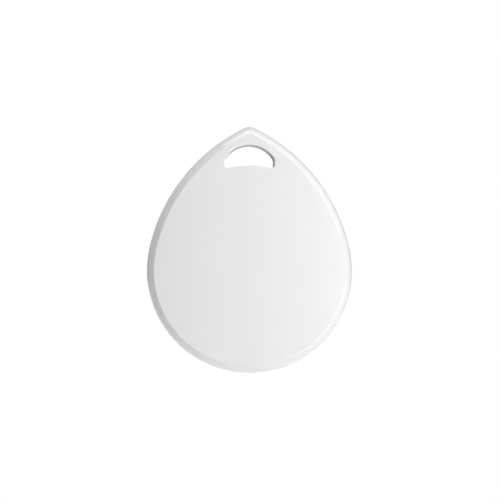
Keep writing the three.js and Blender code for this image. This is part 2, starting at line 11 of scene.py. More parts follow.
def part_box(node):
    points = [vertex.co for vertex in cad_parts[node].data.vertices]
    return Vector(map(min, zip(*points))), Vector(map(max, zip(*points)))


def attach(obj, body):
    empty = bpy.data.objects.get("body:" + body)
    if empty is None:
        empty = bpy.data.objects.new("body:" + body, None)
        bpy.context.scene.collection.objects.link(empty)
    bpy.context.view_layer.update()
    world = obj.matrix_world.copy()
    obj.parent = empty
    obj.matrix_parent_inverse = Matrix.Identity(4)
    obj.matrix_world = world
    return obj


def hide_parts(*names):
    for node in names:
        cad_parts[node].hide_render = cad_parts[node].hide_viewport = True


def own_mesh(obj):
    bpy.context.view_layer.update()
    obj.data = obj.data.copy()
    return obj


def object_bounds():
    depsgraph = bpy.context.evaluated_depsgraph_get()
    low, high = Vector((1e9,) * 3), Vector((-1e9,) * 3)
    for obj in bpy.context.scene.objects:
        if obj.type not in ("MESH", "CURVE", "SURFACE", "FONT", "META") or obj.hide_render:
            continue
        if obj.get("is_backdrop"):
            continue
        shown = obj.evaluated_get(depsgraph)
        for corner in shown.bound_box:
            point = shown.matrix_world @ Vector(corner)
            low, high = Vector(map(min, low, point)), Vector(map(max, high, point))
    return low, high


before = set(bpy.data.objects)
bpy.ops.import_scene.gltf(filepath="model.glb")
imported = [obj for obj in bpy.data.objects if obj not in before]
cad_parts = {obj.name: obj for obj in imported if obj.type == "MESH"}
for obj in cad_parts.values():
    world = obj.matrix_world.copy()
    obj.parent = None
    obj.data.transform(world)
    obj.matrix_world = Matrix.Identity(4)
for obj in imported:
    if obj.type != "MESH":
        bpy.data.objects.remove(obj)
cad_low, cad_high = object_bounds()

# Camera and studio. The tag hangs a little above a pale floor that fades into a white room, and it is seen
# square on from far away, a touch from its left. A tall lamp stands close on its right, others hang above.
MM = 0.001
CAMERA_DISTANCE = 400 * MM
CAMERA_TURN = math.radians(1.6)
PICTURE_HEIGHT = 90.8 * MM
CAMERA_SHIFT = 0.15 * MM
FLOOR_DROP = 30 * MM
FLOOR_R = 2.0
FLOOR_FADE = (0.01, 0.06)
ROOM_LIGHT = 0.06

tag_middle = (cad_low + cad_high) / 2
camera_data = bpy.data.cameras.new("camera")
camera_data.sensor_width = 36
camera_data.lens = camera_data.sensor_width * CAMERA_DISTANCE / PICTURE_HEIGHT
camera_data.clip_start = 0.01
camera_data.clip_end = 20
camera = bpy.data.objects.new("camera", camera_data)
bpy.context.scene.collection.objects.link(camera)
towards_camera = Vector((-math.sin(CAMERA_TURN), -math.cos(CAMERA_TURN), 0))
camera.location = tag_middle + towards_camera * CAMERA_DISTANCE + Vector((CAMERA_SHIFT, 0, 0))
camera.rotation_euler = (-towards_camera).to_track_quat("-Z", "Y").to_euler()
bpy.context.scene.camera = camera
bpy.context.scene.view_settings.view_transform = "Standard"


def lamp(name, turn, rise, distance, width, height, power, shines=True):
    """A soft lamp that faces the tag. turn is from the front towards the tag's right, rise is upwards."""
    data = bpy.data.lights.new(name, "AREA")
    data.shape = "RECTANGLE"
    data.size = width
    data.size_y = height
    data.energy = power
    turn, rise = math.radians(turn), math.radians(rise)
    towards = Vector((math.sin(turn) * math.cos(rise), -math.cos(turn) * math.cos(rise), math.sin(rise)))
    light = bpy.data.objects.new(name, data)
    light.location = tag_middle + towards * distance
    light.rotation_euler = towards.to_track_quat("Z", "Y").to_euler()
    light.visible_camera = False
    light.visible_glossy = shines
    bpy.context.scene.collection.objects.link(light)


lamp("side_lamp", 30, -5, 0.1, 0.06, 0.19, 0.06)
lamp("upper_side_lamp", 55, 25, 0.12, 0.06, 0.06, 0.03)
lamp("lower_side_lamp", 60, -30, 0.12, 0.06, 0.06, 0.03)
lamp("front_top_lamp", 0, 60, 0.5, 0.3, 0.2, 0.32)
lamp("left_top_lamp", -45, 65, 0.5, 0.3, 0.2, 0.36)
lamp("far_left_top_lamp", -80, 70, 0.5, 0.2, 0.2, 0.32)
lamp("overhead_lamp", 0, 85, 0.5, 0.3, 0.2, 0.25)
lamp("right_top_lamp", 40, 60, 0.4, 0.2, 0.2, 0.22)
lamp("back_left_lamp", -145, 30, 0.5, 0.3, 0.3, 1.1, shines=False)
lamp("back_right_lamp", 150, 25, 0.5, 0.3, 0.3, 0.6, shines=False)


def step(tree, kind, inputs=(), **options):
    """Adds a node to a tree with its options, and links or sets each of its named inputs."""
    made = tree.nodes.new(kind)
    for label, value in options.items():
        setattr(made, label, value)
    for label, value in dict(inputs).items():
        for one in value if isinstance(value, list) else [value]:
            if isinstance(one, bpy.types.NodeSocket):
                tree.links.new(one, made.inputs[label])
            else:
                made.inputs[label].default_value = one
    return made


def first(tree, kind, inputs=(), **options):
    """The first output of a node that step() adds."""
    return step(tree, kind, inputs, **options).outputs[0]


def maths(tree, operation, *values, **options):
    """The result of an operation on up to three numbers."""
    return first(tree, "ShaderNodeMath", dict(enumerate(values)), operation=operation, **options)


def own_place(tree):
    """Where a point lies in its own piece."""
    return step(tree, "ShaderNodeTexCoord").outputs["Object"]


def room():
    """White to the camera, and evenly dim as light."""
    world = bpy.data.worlds.new("room")
    bpy.context.scene.world = world
    world.use_nodes = True
    tree = world.node_tree
    tree.nodes.clear()
    seen = first(tree, "ShaderNodeBackground", {"Color": (1, 1, 1, 1)})
    lit = first(tree, "ShaderNodeBackground", {"Color": (ROOM_LIGHT, ROOM_LIGHT, ROOM_LIGHT, 1)})
    rays = step(tree, "ShaderNodeLightPath").outputs["Is Camera Ray"]
    mix = first(tree, "ShaderNodeMixShader", {0: rays, 1: lit, 2: seen})
    step(tree, "ShaderNodeOutputWorld", {"Surface": mix})


def floor():
    """A round pale floor whose rim is as white to the camera as the room, so that no edge shows."""
    mesh = bpy.data.meshes.new("floor")
    shape = bmesh.new()
    bmesh.ops.create_circle(shape, cap_ends=True, radius=FLOOR_R, segments=96)
    shape.to_mesh(mesh)
    shape.free()
    disc = bpy.data.objects.new("floor", mesh)
    disc.location = (tag_middle.x, tag_middle.y, cad_low.z - FLOOR_DROP)
    bpy.context.scene.collection.objects.link(disc)
    material = bpy.data.materials.new("floor")
    material.use_nodes = True
    tree = material.node_tree
    tree.nodes.clear()
    paint = first(tree, "ShaderNodeBsdfDiffuse", {"Color": (0.85, 0.85, 0.85, 1)})
    glow = first(tree, "ShaderNodeEmission", {"Color": (1, 1, 1, 1)})
    reach = step(tree, "ShaderNodeVectorMath", {0: own_place(tree)}, operation="LENGTH").outputs["Value"]
    ends = {"Value": reach, "From Min": FLOOR_FADE[0], "From Max": FLOOR_FADE[1]}
    fade = first(tree, "ShaderNodeMapRange", ends, interpolation_type="SMOOTHSTEP")
    rays = step(tree, "ShaderNodeLightPath").outputs["Is Camera Ray"]
    white = maths(tree, "MULTIPLY", fade, rays)
    mix = first(tree, "ShaderNodeMixShader", {0: white, 1: paint, 2: glow})
    step(tree, "ShaderNodeOutputMaterial", {"Surface": mix})
    mesh.materials.append(material)
    disc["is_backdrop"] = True


room()
floor()

# Face shell. The front half of the case, moulded in glossy white plastic: a drop outline with a crisp line
# where the flat face turns into its rounded edge, four screw bosses inside and a sleeve round the ring hole.
DEPTH = (cad_high.y - cad_low.y) / MM
BODY_R = 18.5
SIDE_R = 31.8
SIDE_ANGLE = 0.223
TIP_R = 2.24
WALL = 1.6
FACE_Z = 7.2
SEAM_Z = 4.0
SEAM_GAP = 0.05
SEAM_CHAMFER = 0.12
REBATE_OUT = 0.8
REBATE_TOP = 5.0
EDGE_WIDTH = 1.3
EDGE_START = 0.56
HOLE_ARCH_Y = 17.46
HOLE_ARCH_R = 5.15
HOLE_SILL_R = 18.88
HOLE_HALF = 4.45
HOLE_SHOULDER_R = 1.0
HOLE_CORNER_R = 0.45
HOLE_LIP = 0.22
SLEEVE = 1.1
CAVITY_TOP = 18.2
BOARD_Z = 5.25
BOARD_TOP = 5.85
SCREW_RING_R = 15.2
SCREW_ANGLES = (40, 140, 215, 325)
SCREW_R = 0.55
SCREW_END = 7.6
BOSS_R = 1.7
SWITCH_Y = 4.5
PRESS_PAD_R = 1.2
SHARP = math.radians(14)
SOFT = math.radians(40)
FLAT_AREA = 4 * MM**2

door_low, door_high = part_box("battery_door")
body_centre_z = (door_low.z + door_high.z) / 2
case_to_frame = (
    Matrix.Translation((0, cad_high.y, body_centre_z))
    @ Matrix.Rotation(math.radians(90), 4, "X")
    @ Matrix.Scale(MM, 4)
)


def place(x, y, z):
    """A point in case coordinates, in the frame."""
    return case_to_frame @ Vector((x, y, z))


def arc(x, y, radius, start, end, steps):
    """Points along an arc, without its last one."""
    turns = [start + (end - start) * i / steps for i in range(steps)]
    return [(x + radius * math.cos(a), y + radius * math.sin(a)) for a in turns]


def circle(x, y, radius, steps=48):
    """Points round a circle."""
    return arc(x, y, radius, 0, 2 * math.pi, steps)


def drop_outline(inset):
    """The drop, set in from its outside by inset."""
    side_x = (BODY_R - SIDE_R) * math.cos(SIDE_ANGLE)
    side_y = (BODY_R - SIDE_R) * math.sin(SIDE_ANGLE)
    tip_y = side_y + math.sqrt((SIDE_R - TIP_R) ** 2 - side_x**2)
    tip_angle = math.atan2(tip_y - side_y, -side_x)
    points = arc(0, 0, BODY_R - inset, math.pi - SIDE_ANGLE, 2 * math.pi + SIDE_ANGLE, 108)
    points += arc(side_x, side_y, SIDE_R - inset, SIDE_ANGLE, tip_angle, 30)
    points += arc(0, tip_y, TIP_R - inset, tip_angle, math.pi - tip_angle, 16)
    points += arc(-side_x, side_y, SIDE_R - inset, math.pi - tip_angle, math.pi - SIDE_ANGLE, 30)
    return points


def ring_hole_outline(grow):
    """The ring hole, larger all round by grow: an arch, short sides and a sill that follows the body."""
    shoulder_x = HOLE_HALF - HOLE_SHOULDER_R
    shoulder_y = HOLE_ARCH_Y + math.sqrt((HOLE_ARCH_R - HOLE_SHOULDER_R) ** 2 - shoulder_x**2)
    arch_angle = math.atan2(shoulder_y - HOLE_ARCH_Y, shoulder_x)
    corner_x = HOLE_HALF - HOLE_CORNER_R
    corner_y = math.sqrt((HOLE_SILL_R + HOLE_CORNER_R) ** 2 - corner_x**2)
    sill_angle = math.atan2(corner_y, corner_x)
    shoulder, corner = HOLE_SHOULDER_R + grow, HOLE_CORNER_R + grow
    points = arc(0, HOLE_ARCH_Y, HOLE_ARCH_R + grow, arch_angle, math.pi - arch_angle, 40)
    points += arc(-shoulder_x, shoulder_y, shoulder, math.pi - arch_angle, math.pi, 10)
    points += arc(-corner_x, corner_y, corner, math.pi, 2 * math.pi - sill_angle, 14)
    points += arc(0, 0, HOLE_SILL_R - grow, math.pi - sill_angle, sill_angle, 24)
    points += arc(corner_x, corner_y, corner, math.pi + sill_angle, 2 * math.pi, 14)
    points += arc(shoulder_x, shoulder_y, shoulder, 0, arch_angle, 10)
    return points


def shown(mesh):
    """A new object of a mesh, in the scene."""
    made = bpy.data.objects.new(mesh.name, mesh)
    bpy.context.scene.collection.objects.link(made)
    return made


def solid(shape):
    """A mesh object of closed bmesh bodies, their faces pointing out."""
    bmesh.ops.recalc_face_normals(shape, faces=shape.faces)
    mesh = bpy.data.meshes.new("solid")
    shape.to_mesh(mesh)
    shape.free()
    return shown(mesh)


def swept(outline, profile, ring=False):
    """A body whose outline, changed by each step's first value, goes through the heights of a profile."""
    shape = bmesh.new()
    loops = [[shape.verts.new(place(x, y, z)) for x, y in outline(change)] for change, z in profile]
    bands = list(zip(loops, loops[1:]))
    if ring:
        bands.append((loops[-1], loops[0]))
    else:
        shape.faces.new(loops[0][::-1])
        shape.faces.new(loops[-1])
    for low, high in bands:
        for i in range(len(low)):
            j = (i + 1) % len(low)
            shape.faces.new((low[i], low[j], high[j], high[i]))
    return solid(shape)


def turned(profile, x=0, y=0, steps=120):
    """A body turned about a line along z: its [radius, z] profile starts and ends on that line or closes."""
    shape = bmesh.new()
    rings = []
    for radius, z in profile:
        if radius < 1e-6:
            rings.append([shape.verts.new(place(x, y, z))] * steps)
        else:
            rings.append([shape.verts.new(place(px, py, z)) for px, py in circle(x, y, radius, steps)])
    bands = list(zip(rings, rings[1:]))
    if profile[0][0] > 1e-6:
        bands.append((rings[-1], rings[0]))
    for low, high in bands:
        for i in range(steps):
            j = (i + 1) % steps
            corners = list(dict.fromkeys((low[i], low[j], high[j], high[i])))
            if len(corners) > 2:
                shape.faces.new(corners)
    return solid(shape)


def rounded(points, radius, closed=True, steps=7):
    """The same outline with each corner eased by radius, or by less where its sides are short."""
    eased = []
    count = len(points)
    for i in range(count):
        corner = Vector(points[i])
        if not closed and i in (0, count - 1):
            eased.append(tuple(corner))
            continue
        back, ahead = Vector(points[i - 1]) - corner, Vector(points[(i + 1) % count]) - corner
        reach = min(radius, 0.45 * back.length, 0.45 * ahead.length)
        start, end = corner + back.normalized() * reach, corner + ahead.normalized() * reach
        for k in range(steps + 1):
            t = k / steps
            eased.append(tuple(start * (1 - t) ** 2 + corner * 2 * t * (1 - t) + end * t**2))
    return eased


def block(width, height, low, high, x=0, y=0, edge=0.0):
    """A box with its edges rounded by edge."""
    shape = bmesh.new()
    bmesh.ops.create_cube(shape, size=1)
    for v in shape.verts:
        v.co = place(x + v.co.x * width, y + v.co.y * height, (low + high) / 2 + v.co.z * (high - low))
    if edge:
        bmesh.ops.bevel(shape, geom=shape.edges[:], offset=edge * MM, segments=4, profile=0.5, affect="EDGES")
    return solid(shape)


def plain_mesh(made):
    """Leaves an object with the mesh that its modifiers give, and none of them."""
    bpy.context.view_layer.update()
    mesh = bpy.data.meshes.new_from_object(made.evaluated_get(bpy.context.evaluated_depsgraph_get()))
    made.modifiers.clear()
    old = made.data
    made.data = mesh
    bpy.data.meshes.remove(old)
    return made


def combined(base, other, operation):
    """base after other is cut from it ("DIFFERENCE"), added ("UNION") or kept in common ("INTERSECT")."""
    change = base.modifiers.new("combine", "BOOLEAN")
    change.solver = "MANIFOLD"
    change.operation = operation
    change.object = other
    plain_mesh(base)
    bpy.data.objects.remove(other)
    return base


def gathered(parts):
    """Several bodies in one mesh."""
    shape = bmesh.new()
    for part in parts:
        shape.from_mesh(part.data)
        bpy.data.objects.remove(part)
    return solid(shape)


def shaded(made, name, sharp=SHARP):
    """Names a piece and shades it smooth, but for its sharp edges and round its wide flat faces."""
    made.name = name
    made.data.name = name
    made.data.shade_smooth()
    made.data.set_sharp_from_angle(angle=sharp)
    shape = bmesh.new()
    shape.from_mesh(made.data)
    for face in shape.faces:
        if face.calc_area() > FLAT_AREA:
            for edge in face.edges:
                edge.smooth = False
    shape.to_mesh(made.data)
    shape.free()
    return made


def finished(made, name, material, sharp=SHARP):
    """A shaded piece in one material."""
    made.data.materials.clear()
    made.data.materials.append(material)
    return shaded(made, name, sharp)


def fitted(piece, body, finish, *nodes):
    """A piece moves with its body and stands for CAD nodes, which it hides. finish is not used."""
    if nodes:
        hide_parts(*nodes)
    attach(piece, body)


def skin_group(name, inputs):
    """An empty shader group that gives a surface its colour, roughness and relief."""
    group = bpy.data.node_groups.new(name, "ShaderNodeTree")
    for label, kind, value in inputs:
        group.interface.new_socket(label, in_out="INPUT", socket_type=kind).default_value = value
    for label, kind in (("Colour", "Color"), ("Roughness", "Float"), ("Height", "Float")):
        group.interface.new_socket(label, in_out="OUTPUT", socket_type="NodeSocket" + kind)
    return group, group.nodes.new("NodeGroupInput").outputs


def noise(tree, where, scale, detail):
    """Cloudy values between 0 and 1."""
    inputs = {"Vector": where, "Scale": scale, "Detail": detail}
    return step(tree, "ShaderNodeTexNoise", inputs).outputs["Fac"]


def shade_and_gloss(group, given, slow, swing):
    """The colour less a share of it where slow is low, and the roughness changed by swing."""
    darkest = maths(group, "SUBTRACT", 1.0, given["Mottle"])
    tone = first(group, "ShaderNodeMapRange", {"Value": slow, "To Min": darkest, "To Max": 1.0})
    colour = first(group, "ShaderNodeVectorMath", {0: given["Colour"], "Scale": tone}, operation="SCALE")
    centred = maths(group, "SUBTRACT", swing, 0.5)
    gloss = maths(group, "MULTIPLY_ADD", centred, given["Gloss Change"], given["Roughness"], use_clamp=True)
    return colour, gloss


def moulded_group():
    """The skin of a moulding: a fine grain, slow changes of gloss, and a faint mottle in its colour."""
    group, given = skin_group("moulded_skin", [
        ("Colour", "NodeSocketColor", (0.8, 0.8, 0.8, 1)),
        ("Mottle", "NodeSocketFloat", 0.02),
        ("Roughness", "NodeSocketFloat", 0.3),
        ("Gloss Change", "NodeSocketFloat", 0.06),
        ("Grain", "NodeSocketFloat", 6000.0),
    ])
    where = own_place(group)
    slow = noise(group, where, 170, 3)
    fine = noise(group, where, given["Grain"], 4)
    colour, gloss = shade_and_gloss(group, given, slow, slow)
    step(group, "NodeGroupOutput", {"Colour": colour, "Roughness": gloss, "Height": fine})
    return group


def skinned_material(name, group, settings, bump_mm, metallic=0.0, coat=0.0):
    """A material whose colour, roughness and relief come from a shared group with its own values."""
    material = bpy.data.materials.new(name)
    material.use_nodes = True
    tree = material.node_tree
    surface = tree.nodes["Principled BSDF"]
    surface.inputs["Metallic"].default_value = metallic
    surface.inputs["Coat Weight"].default_value = coat
    surface.inputs["Coat Roughness"].default_value = 0.08
    skin = tree.nodes.new("ShaderNodeGroup")
    skin.node_tree = group
    for label, value in settings.items():
        skin.inputs[label].default_value = value
    relief = first(tree, "ShaderNodeBump", {"Distance": bump_mm * MM, "Height": skin.outputs["Height"]})
    tree.links.new(skin.outputs["Colour"], surface.inputs["Base Color"])
    tree.links.new(skin.outputs["Roughness"], surface.inputs["Roughness"])
    tree.links.new(relief, surface.inputs["Normal"])
    material.diffuse_color = settings["Colour"]
    return material


moulded_skin = moulded_group()


def moulded(name, colour, roughness, grain=6000.0, bump_mm=0.0008, mottle=0.02, change=0.06, coat=0.0):
    """A moulded plastic, nylon or rubber."""
    settings = {
        "Colour": (*colour, 1),
        "Mottle": mottle,
        "Roughness": roughness,
        "Gloss Change": change,
        "Grain": grain,
    }
    return skinned_material(name, moulded_skin, settings, bump_mm, coat=coat)


case_plastic = moulded("case_plastic", (0.9, 0.9, 0.905), 0.24, 5200, 0.0004, 0.012, 0.04, coat=0.25)


def face_edge():
    """The rounded edge of the face as [inset, z], from the side up. It meets the face at EDGE_START."""
    radius = EDGE_WIDTH / (1 - math.sin(EDGE_START))
    steps = 12
    low = DEPTH - radius * math.cos(EDGE_START)
    turns = [math.pi / 2 - (math.pi / 2 - EDGE_START) * i / steps for i in range(steps + 1)]
    return [(radius * (1 - math.sin(a)), low + radius * math.cos(a)) for a in turns]


def inside_of_case(inset, sleeve, top, low, high):
    """The room within the side wall, below and beside the ring hole's sleeve."""
    space = swept(drop_outline, [(inset, low), (inset, high)])
    above = block(4 * BODY_R, BODY_R, low - 1, high + 1, 0, top + BODY_R / 2)
    space = combined(space, above, "DIFFERENCE")
    return combined(space, swept(ring_hole_outline, [(sleeve, low - 1), (sleeve, high + 1)]), "DIFFERENCE")


def ring_hole_cut():
    """What the ring hole takes away, with its lips rounded at the back and at the face."""
    steps = 6
    turns = [math.pi / 2 * i / steps for i in range(steps + 1)]
    back = [(HOLE_LIP * (1 - math.sin(a)), HOLE_LIP * (1 - math.cos(a))) for a in turns]
    face = [(grow, DEPTH - z) for grow, z in reversed(back)]
    return swept(ring_hole_outline, [(HOLE_LIP, -1), *back, *face, (HOLE_LIP, DEPTH + 1)])


def on_ring(radius, degrees):
    """A point on a circle about the body centre."""
    return radius * math.cos(math.radians(degrees)), radius * math.sin(math.radians(degrees))


screw_places = [on_ring(SCREW_RING_R, degrees) for degrees in SCREW_ANGLES]


def screw_boss(x, y):
    """A boss inside the face that a screw bites into, its rim chamfered."""
    low, high = BOARD_TOP + 0.05, FACE_Z + 0.2
    return turned([(0, low), (BOSS_R - 0.15, low), (BOSS_R, low + 0.15), (BOSS_R, high), (0, high)], x, y, 48)


def screw_hole(x, y):
    """The blind hole in a boss, opened out at its mouth."""
    mouth, hole_r = BOARD_TOP + 0.05, SCREW_R + 0.05
    opening = [(0, BOARD_TOP), (hole_r + 0.2, BOARD_TOP), (hole_r + 0.2, mouth)]
    bore = [(hole_r, mouth + 0.2), (hole_r, SCREW_END), (0, SCREW_END + 0.1)]
    return turned(opening + bore, x, y, 48)


def face_shell():
    rim = [(SEAM_CHAMFER, SEAM_Z + SEAM_GAP), (0, SEAM_Z + SEAM_GAP + SEAM_CHAMFER)]
    shell = swept(drop_outline, [*rim, *face_edge()])
    shell = combined(shell, inside_of_case(WALL, SLEEVE, CAVITY_TOP, SEAM_Z - 1, FACE_Z), "DIFFERENCE")
    inner, low = WALL + 0.05, SEAM_Z - 1
    rebate = [(inner, low), (REBATE_OUT, low), (REBATE_OUT, REBATE_TOP), (inner, REBATE_TOP)]
    shell = combined(shell, swept(drop_outline, rebate, ring=True), "DIFFERENCE")
    low, high = FACE_Z - 0.1, FACE_Z + 0.2
    pad = [(0, low), (PRESS_PAD_R - 0.1, low), (PRESS_PAD_R, FACE_Z), (PRESS_PAD_R, high), (0, high)]
    press_pad = turned(pad, 0, SWITCH_Y, 48)
    shell = combined(shell, gathered([*(screw_boss(x, y) for x, y in screw_places), press_pad]), "UNION")
    shell = combined(shell, gathered([screw_hole(x, y) for x, y in screw_places]), "DIFFERENCE")
    return combined(shell, ring_hole_cut(), "DIFFERENCE")


face_moulding = finished(face_shell(), "face_moulding", case_plastic)
fitted(face_moulding, "tag_body", "case_white", "face_shell")

# Buzzer. A piezo disc bonded behind the face with a ring of adhesive: a brass plate, and on it a ceramic disc
# with a silver electrode fired on. The face is its sounding board.
BUZZER_Y = -6.5
PLATE_R = 7.0
PAD_INNER_R = 5.8
CERAMIC_R = 5.0
ELECTRODE_R = 4.55
PAD_Z = 7.08
PLATE_Z = 6.86
CERAMIC_Z = 6.64
SHEET = 0.2


def about_axis(tree, where, centre):
    """A place from a centre, and how far it is from the line through that centre along the tag's depth."""
    offset = first(tree, "ShaderNodeVectorMath", {0: where, 1: centre}, operation="SUBTRACT")
    across = first(tree, "ShaderNodeVectorMath", {0: offset, 1: (1, 0, 1)}, operation="MULTIPLY")
    return offset, step(tree, "ShaderNodeVectorMath", {0: across}, operation="LENGTH").outputs["Value"]


def metal_group():
    """The skin of sheet metal: rolled or turned lines, and slow changes of tone and gloss."""
    group, given = skin_group("metal_skin", [
        ("Colour", "NodeSocketColor", (0.6, 0.6, 0.6, 1)),
        ("Mottle", "NodeSocketFloat", 0.15),
        ("Roughness", "NodeSocketFloat", 0.3),
        ("Gloss Change", "NodeSocketFloat", 0.15),
        ("Grain", "NodeSocketFloat", 9000.0),
        ("Turned", "NodeSocketFloat", 0.0),
        ("Centre", "NodeSocketVector", (0, 0, 0)),
    ])
    where = own_place(group)
    offset, reach = about_axis(group, where, given["Centre"])
    depth = step(group, "ShaderNodeSeparateXYZ", {"Vector": offset}).outputs["Y"]
    rings = first(group, "ShaderNodeCombineXYZ", {"X": reach, "Y": depth})
    rolled = first(group, "ShaderNodeVectorMath", {0: offset, 1: (0.03, 1, 1)}, operation="MULTIPLY")
    ways = {0: given["Turned"], 4: rolled, 5: rings}
    along = step(group, "ShaderNodeMix", ways, data_type="VECTOR").outputs[1]
    fine = noise(group, along, given["Grain"], 3)
    colour, gloss = shade_and_gloss(group, given, noise(group, where, 420, 3), fine)
    step(group, "NodeGroupOutput", {"Colour": colour, "Roughness": gloss, "Height": fine})
    return group


metal_skin = metal_group()


def metal(name, colour, roughness, turned_about=None, grain=9000.0, bump_mm=0.0015, mottle=0.15, change=0.12):
    """Sheet metal with rolled lines, or with rings about a point in case coordinates."""
    settings = {
        "Colour": (*colour, 1),
        "Mottle": mottle,
        "Roughness": roughness,
        "Gloss Change": change,
        "Grain": grain,
        "Turned": 1.0 if turned_about else 0.0,
        "Centre": place(*(turned_about or (0, 0, 0))),
    }
    return skinned_material(name, metal_skin, settings, bump_mm, metallic=1.0)


def electroded_ceramic():
    """Fired ceramic, with a granular silver electrode out to ELECTRODE_R."""
    material = moulded("buzzer_ceramic", (0.62, 0.57, 0.46), 0.5, 9000, 0.002, 0.1)
    tree = material.node_tree
    surface = tree.nodes["Principled BSDF"]
    where = own_place(tree)
    _, reach = about_axis(tree, where, place(0, BUZZER_Y, CERAMIC_Z))
    rim = {"Value": reach, "From Min": (ELECTRODE_R + 0.05) * MM, "From Max": ELECTRODE_R * MM}
    inside = first(tree, "ShaderNodeMapRange", rim)
    tones = {0: noise(tree, where, 7000, 2), 6: (0.5, 0.5, 0.48, 1), 7: (0.78, 0.77, 0.74, 1)}
    silver = step(tree, "ShaderNodeMix", tones, data_type="RGBA")
    ceramic = surface.inputs["Base Color"].links[0].from_socket
    colour = step(tree, "ShaderNodeMix", {0: inside, 6: ceramic, 7: silver.outputs[2]}, data_type="RGBA")
    tree.links.new(colour.outputs[2], surface.inputs["Base Color"])
    tree.links.new(inside, surface.inputs["Metallic"])
    return material


def disc(radius, low, high, y, inner=0.0, edge=0.05):
    """A thin disc or ring with eased edges."""
    profile = [(inner, low), (radius, low), (radius, high), (inner, high)]
    return turned(rounded(profile, edge, closed=inner > 0, steps=3), 0, y, 96)


adhesive = moulded("adhesive", (0.022, 0.022, 0.024), 0.75, 3500, 0.01, 0.3)
buzzer_brass = metal("buzzer_brass", (0.584, 0.361, 0.069), 0.3, (0, BUZZER_Y, 0))
pad = disc(PLATE_R, PAD_Z, PAD_Z + 0.1, BUZZER_Y, PAD_INNER_R, 0.02)
fitted(finished(pad, "adhesive_ring", adhesive), "tag_body", "adhesive", "buzzer_pad")
plate = disc(PLATE_R, PLATE_Z, PLATE_Z + SHEET, BUZZER_Y)
fitted(finished(plate, "brass_disc", buzzer_brass), "tag_body", "buzzer_brass", "buzzer_plate")
ceramic = disc(CERAMIC_R, CERAMIC_Z, CERAMIC_Z + SHEET, BUZZER_Y)
fitted(finished(ceramic, "ceramic_disc", electroded_ceramic()), "tag_body", "ceramic_white", "buzzer_ceramic")

# Circuit board. A 0.6 mm glass-fibre board, green solder mask over copper, routed to the case's inside shape.
# Its traces run under the mask, vias stitch its rim, and gold-plated pads carry the parts.
BOARD_INSET = 0.3
LAND_R = (0.75, 1.35)
TRACE_WIDTH = 0.24
TRACE_HEIGHT = 0.018
PAD_HEIGHT = 0.026
VIA_PITCH = 1.7
VIA_INSET = 2.75
VIA_LIFT = 0.011
VIA_RIM = 0.14
VIA_R = 0.24
PLATING = 0.02
CHIP_PAD = 0.8
CLOCK_PAD = 1.4
INDUCTOR_PAD = 1.45
ANTENNA_PAD = 1.55
CRYSTAL_PAD = (0.8, 0.6)
DRIVER_PAD = (1.1, 0.95)
SWITCH_PAD = (2.35, 0.9)
RADIO_PAD = 2.5
RADIO_PITCH = 0.5
RADIO_EXIT = 2.7
RADIO = (-7.5, 5.5)
RADIO_CRYSTAL = (-7.5, 1.4)
CLOCK_CRYSTAL = (-7.0, 10.4)
ANTENNA = (0, -15.2)
DRIVER = (6.4, 3.0)
INDUCTOR = (9.6, 5.2)
CAPACITORS = ((-3.2, 9.2), (-1.2, 9.2), (-11.4, 5.6), (-4.0, 1.4), (5.0, 9.6), (11.2, 1.2))
RESISTORS = ((3.4, 13.0), (1.2, 13.0), (-11.4, 0.6))
BUZZER_CONTACTS = ((-3.0, BUZZER_Y), (6.0, BUZZER_Y))
SWITCH = (0, SWITCH_Y)


def geometry_tree(name, inputs):
    """A Geometry Nodes tree with named inputs, and the sockets that they arrive on."""
    tree = bpy.data.node_groups.new(name, "GeometryNodeTree")
    tree.interface.new_socket("Geometry", in_out="INPUT", socket_type="NodeSocketGeometry")
    for label, kind in inputs:
        tree.interface.new_socket(label, in_out="INPUT", socket_type="NodeSocket" + kind)
    tree.interface.new_socket("Geometry", in_out="OUTPUT", socket_type="NodeSocketGeometry")
    return tree, tree.nodes.new("NodeGroupInput").outputs


def painted(tree, geometry, material):
    """Geometry in a material."""
    return first(tree, "GeometryNodeSetMaterial", {"Geometry": geometry, "Material": material})


def ended(tree, geometry, material):
    """Ends a tree with real geometry in its material."""
    real = first(tree, "GeometryNodeRealizeInstances", {"Geometry": geometry})
    step(tree, "NodeGroupOutput", {"Geometry": painted(tree, real, material)})


def drawn(points, edges=(), sizes=None):
    """Points, and lines between them, for a tree to build on. They are in millimetres until it has run."""
    mesh = bpy.data.meshes.new("guide")
    mesh.from_pydata(points, edges, [])
    if sizes:
        size = mesh.attributes.new("size", "FLOAT_VECTOR", "POINT")
        size.data.foreach_set("vector", sum(map(list, sizes), []))
    return shown(mesh)


def path(points, closed=False):
    """One line through points."""
    count = len(points)
    return drawn(points, [(i, (i + 1) % count) for i in range(count if closed else count - 1)])


def grown(guide, tree, settings, stand=None):
    """The plain mesh that a tree makes from a guide with these inputs, put into the frame."""
    change = guide.modifiers.new(tree.name, "NODES")
    change.node_group = tree
    for item in tree.interface.items_tree:
        if item.in_out == "INPUT" and item.name in settings:
            change[item.identifier] = settings[item.name]
    plain_mesh(guide)
    guide.data.transform(case_to_frame @ (stand or Matrix.Identity(4)))
    return guide


def as_curves(tree, given):
    """The lines of the guide as curves."""
    return first(tree, "GeometryNodeMeshToCurve", {"Mesh": given["Geometry"]})


def eased(tree, curve, radius, count):
    """A curve with its corners rounded."""
    inputs = {"Curve": curve, "Radius": radius, "Count": count, "Limit Radius": True}
    return first(tree, "GeometryNodeFilletCurve", inputs, mode="POLY")


def oblong(tree, width, height):
    """A rectangular section."""
    return first(tree, "GeometryNodeCurvePrimitiveQuadrilateral", {"Width": width, "Height": height})


def loop_of(tree, sides, radius):
    """A round section or line."""
    return first(tree, "GeometryNodeCurvePrimitiveCircle", {"Resolution": sides, "Radius": radius})


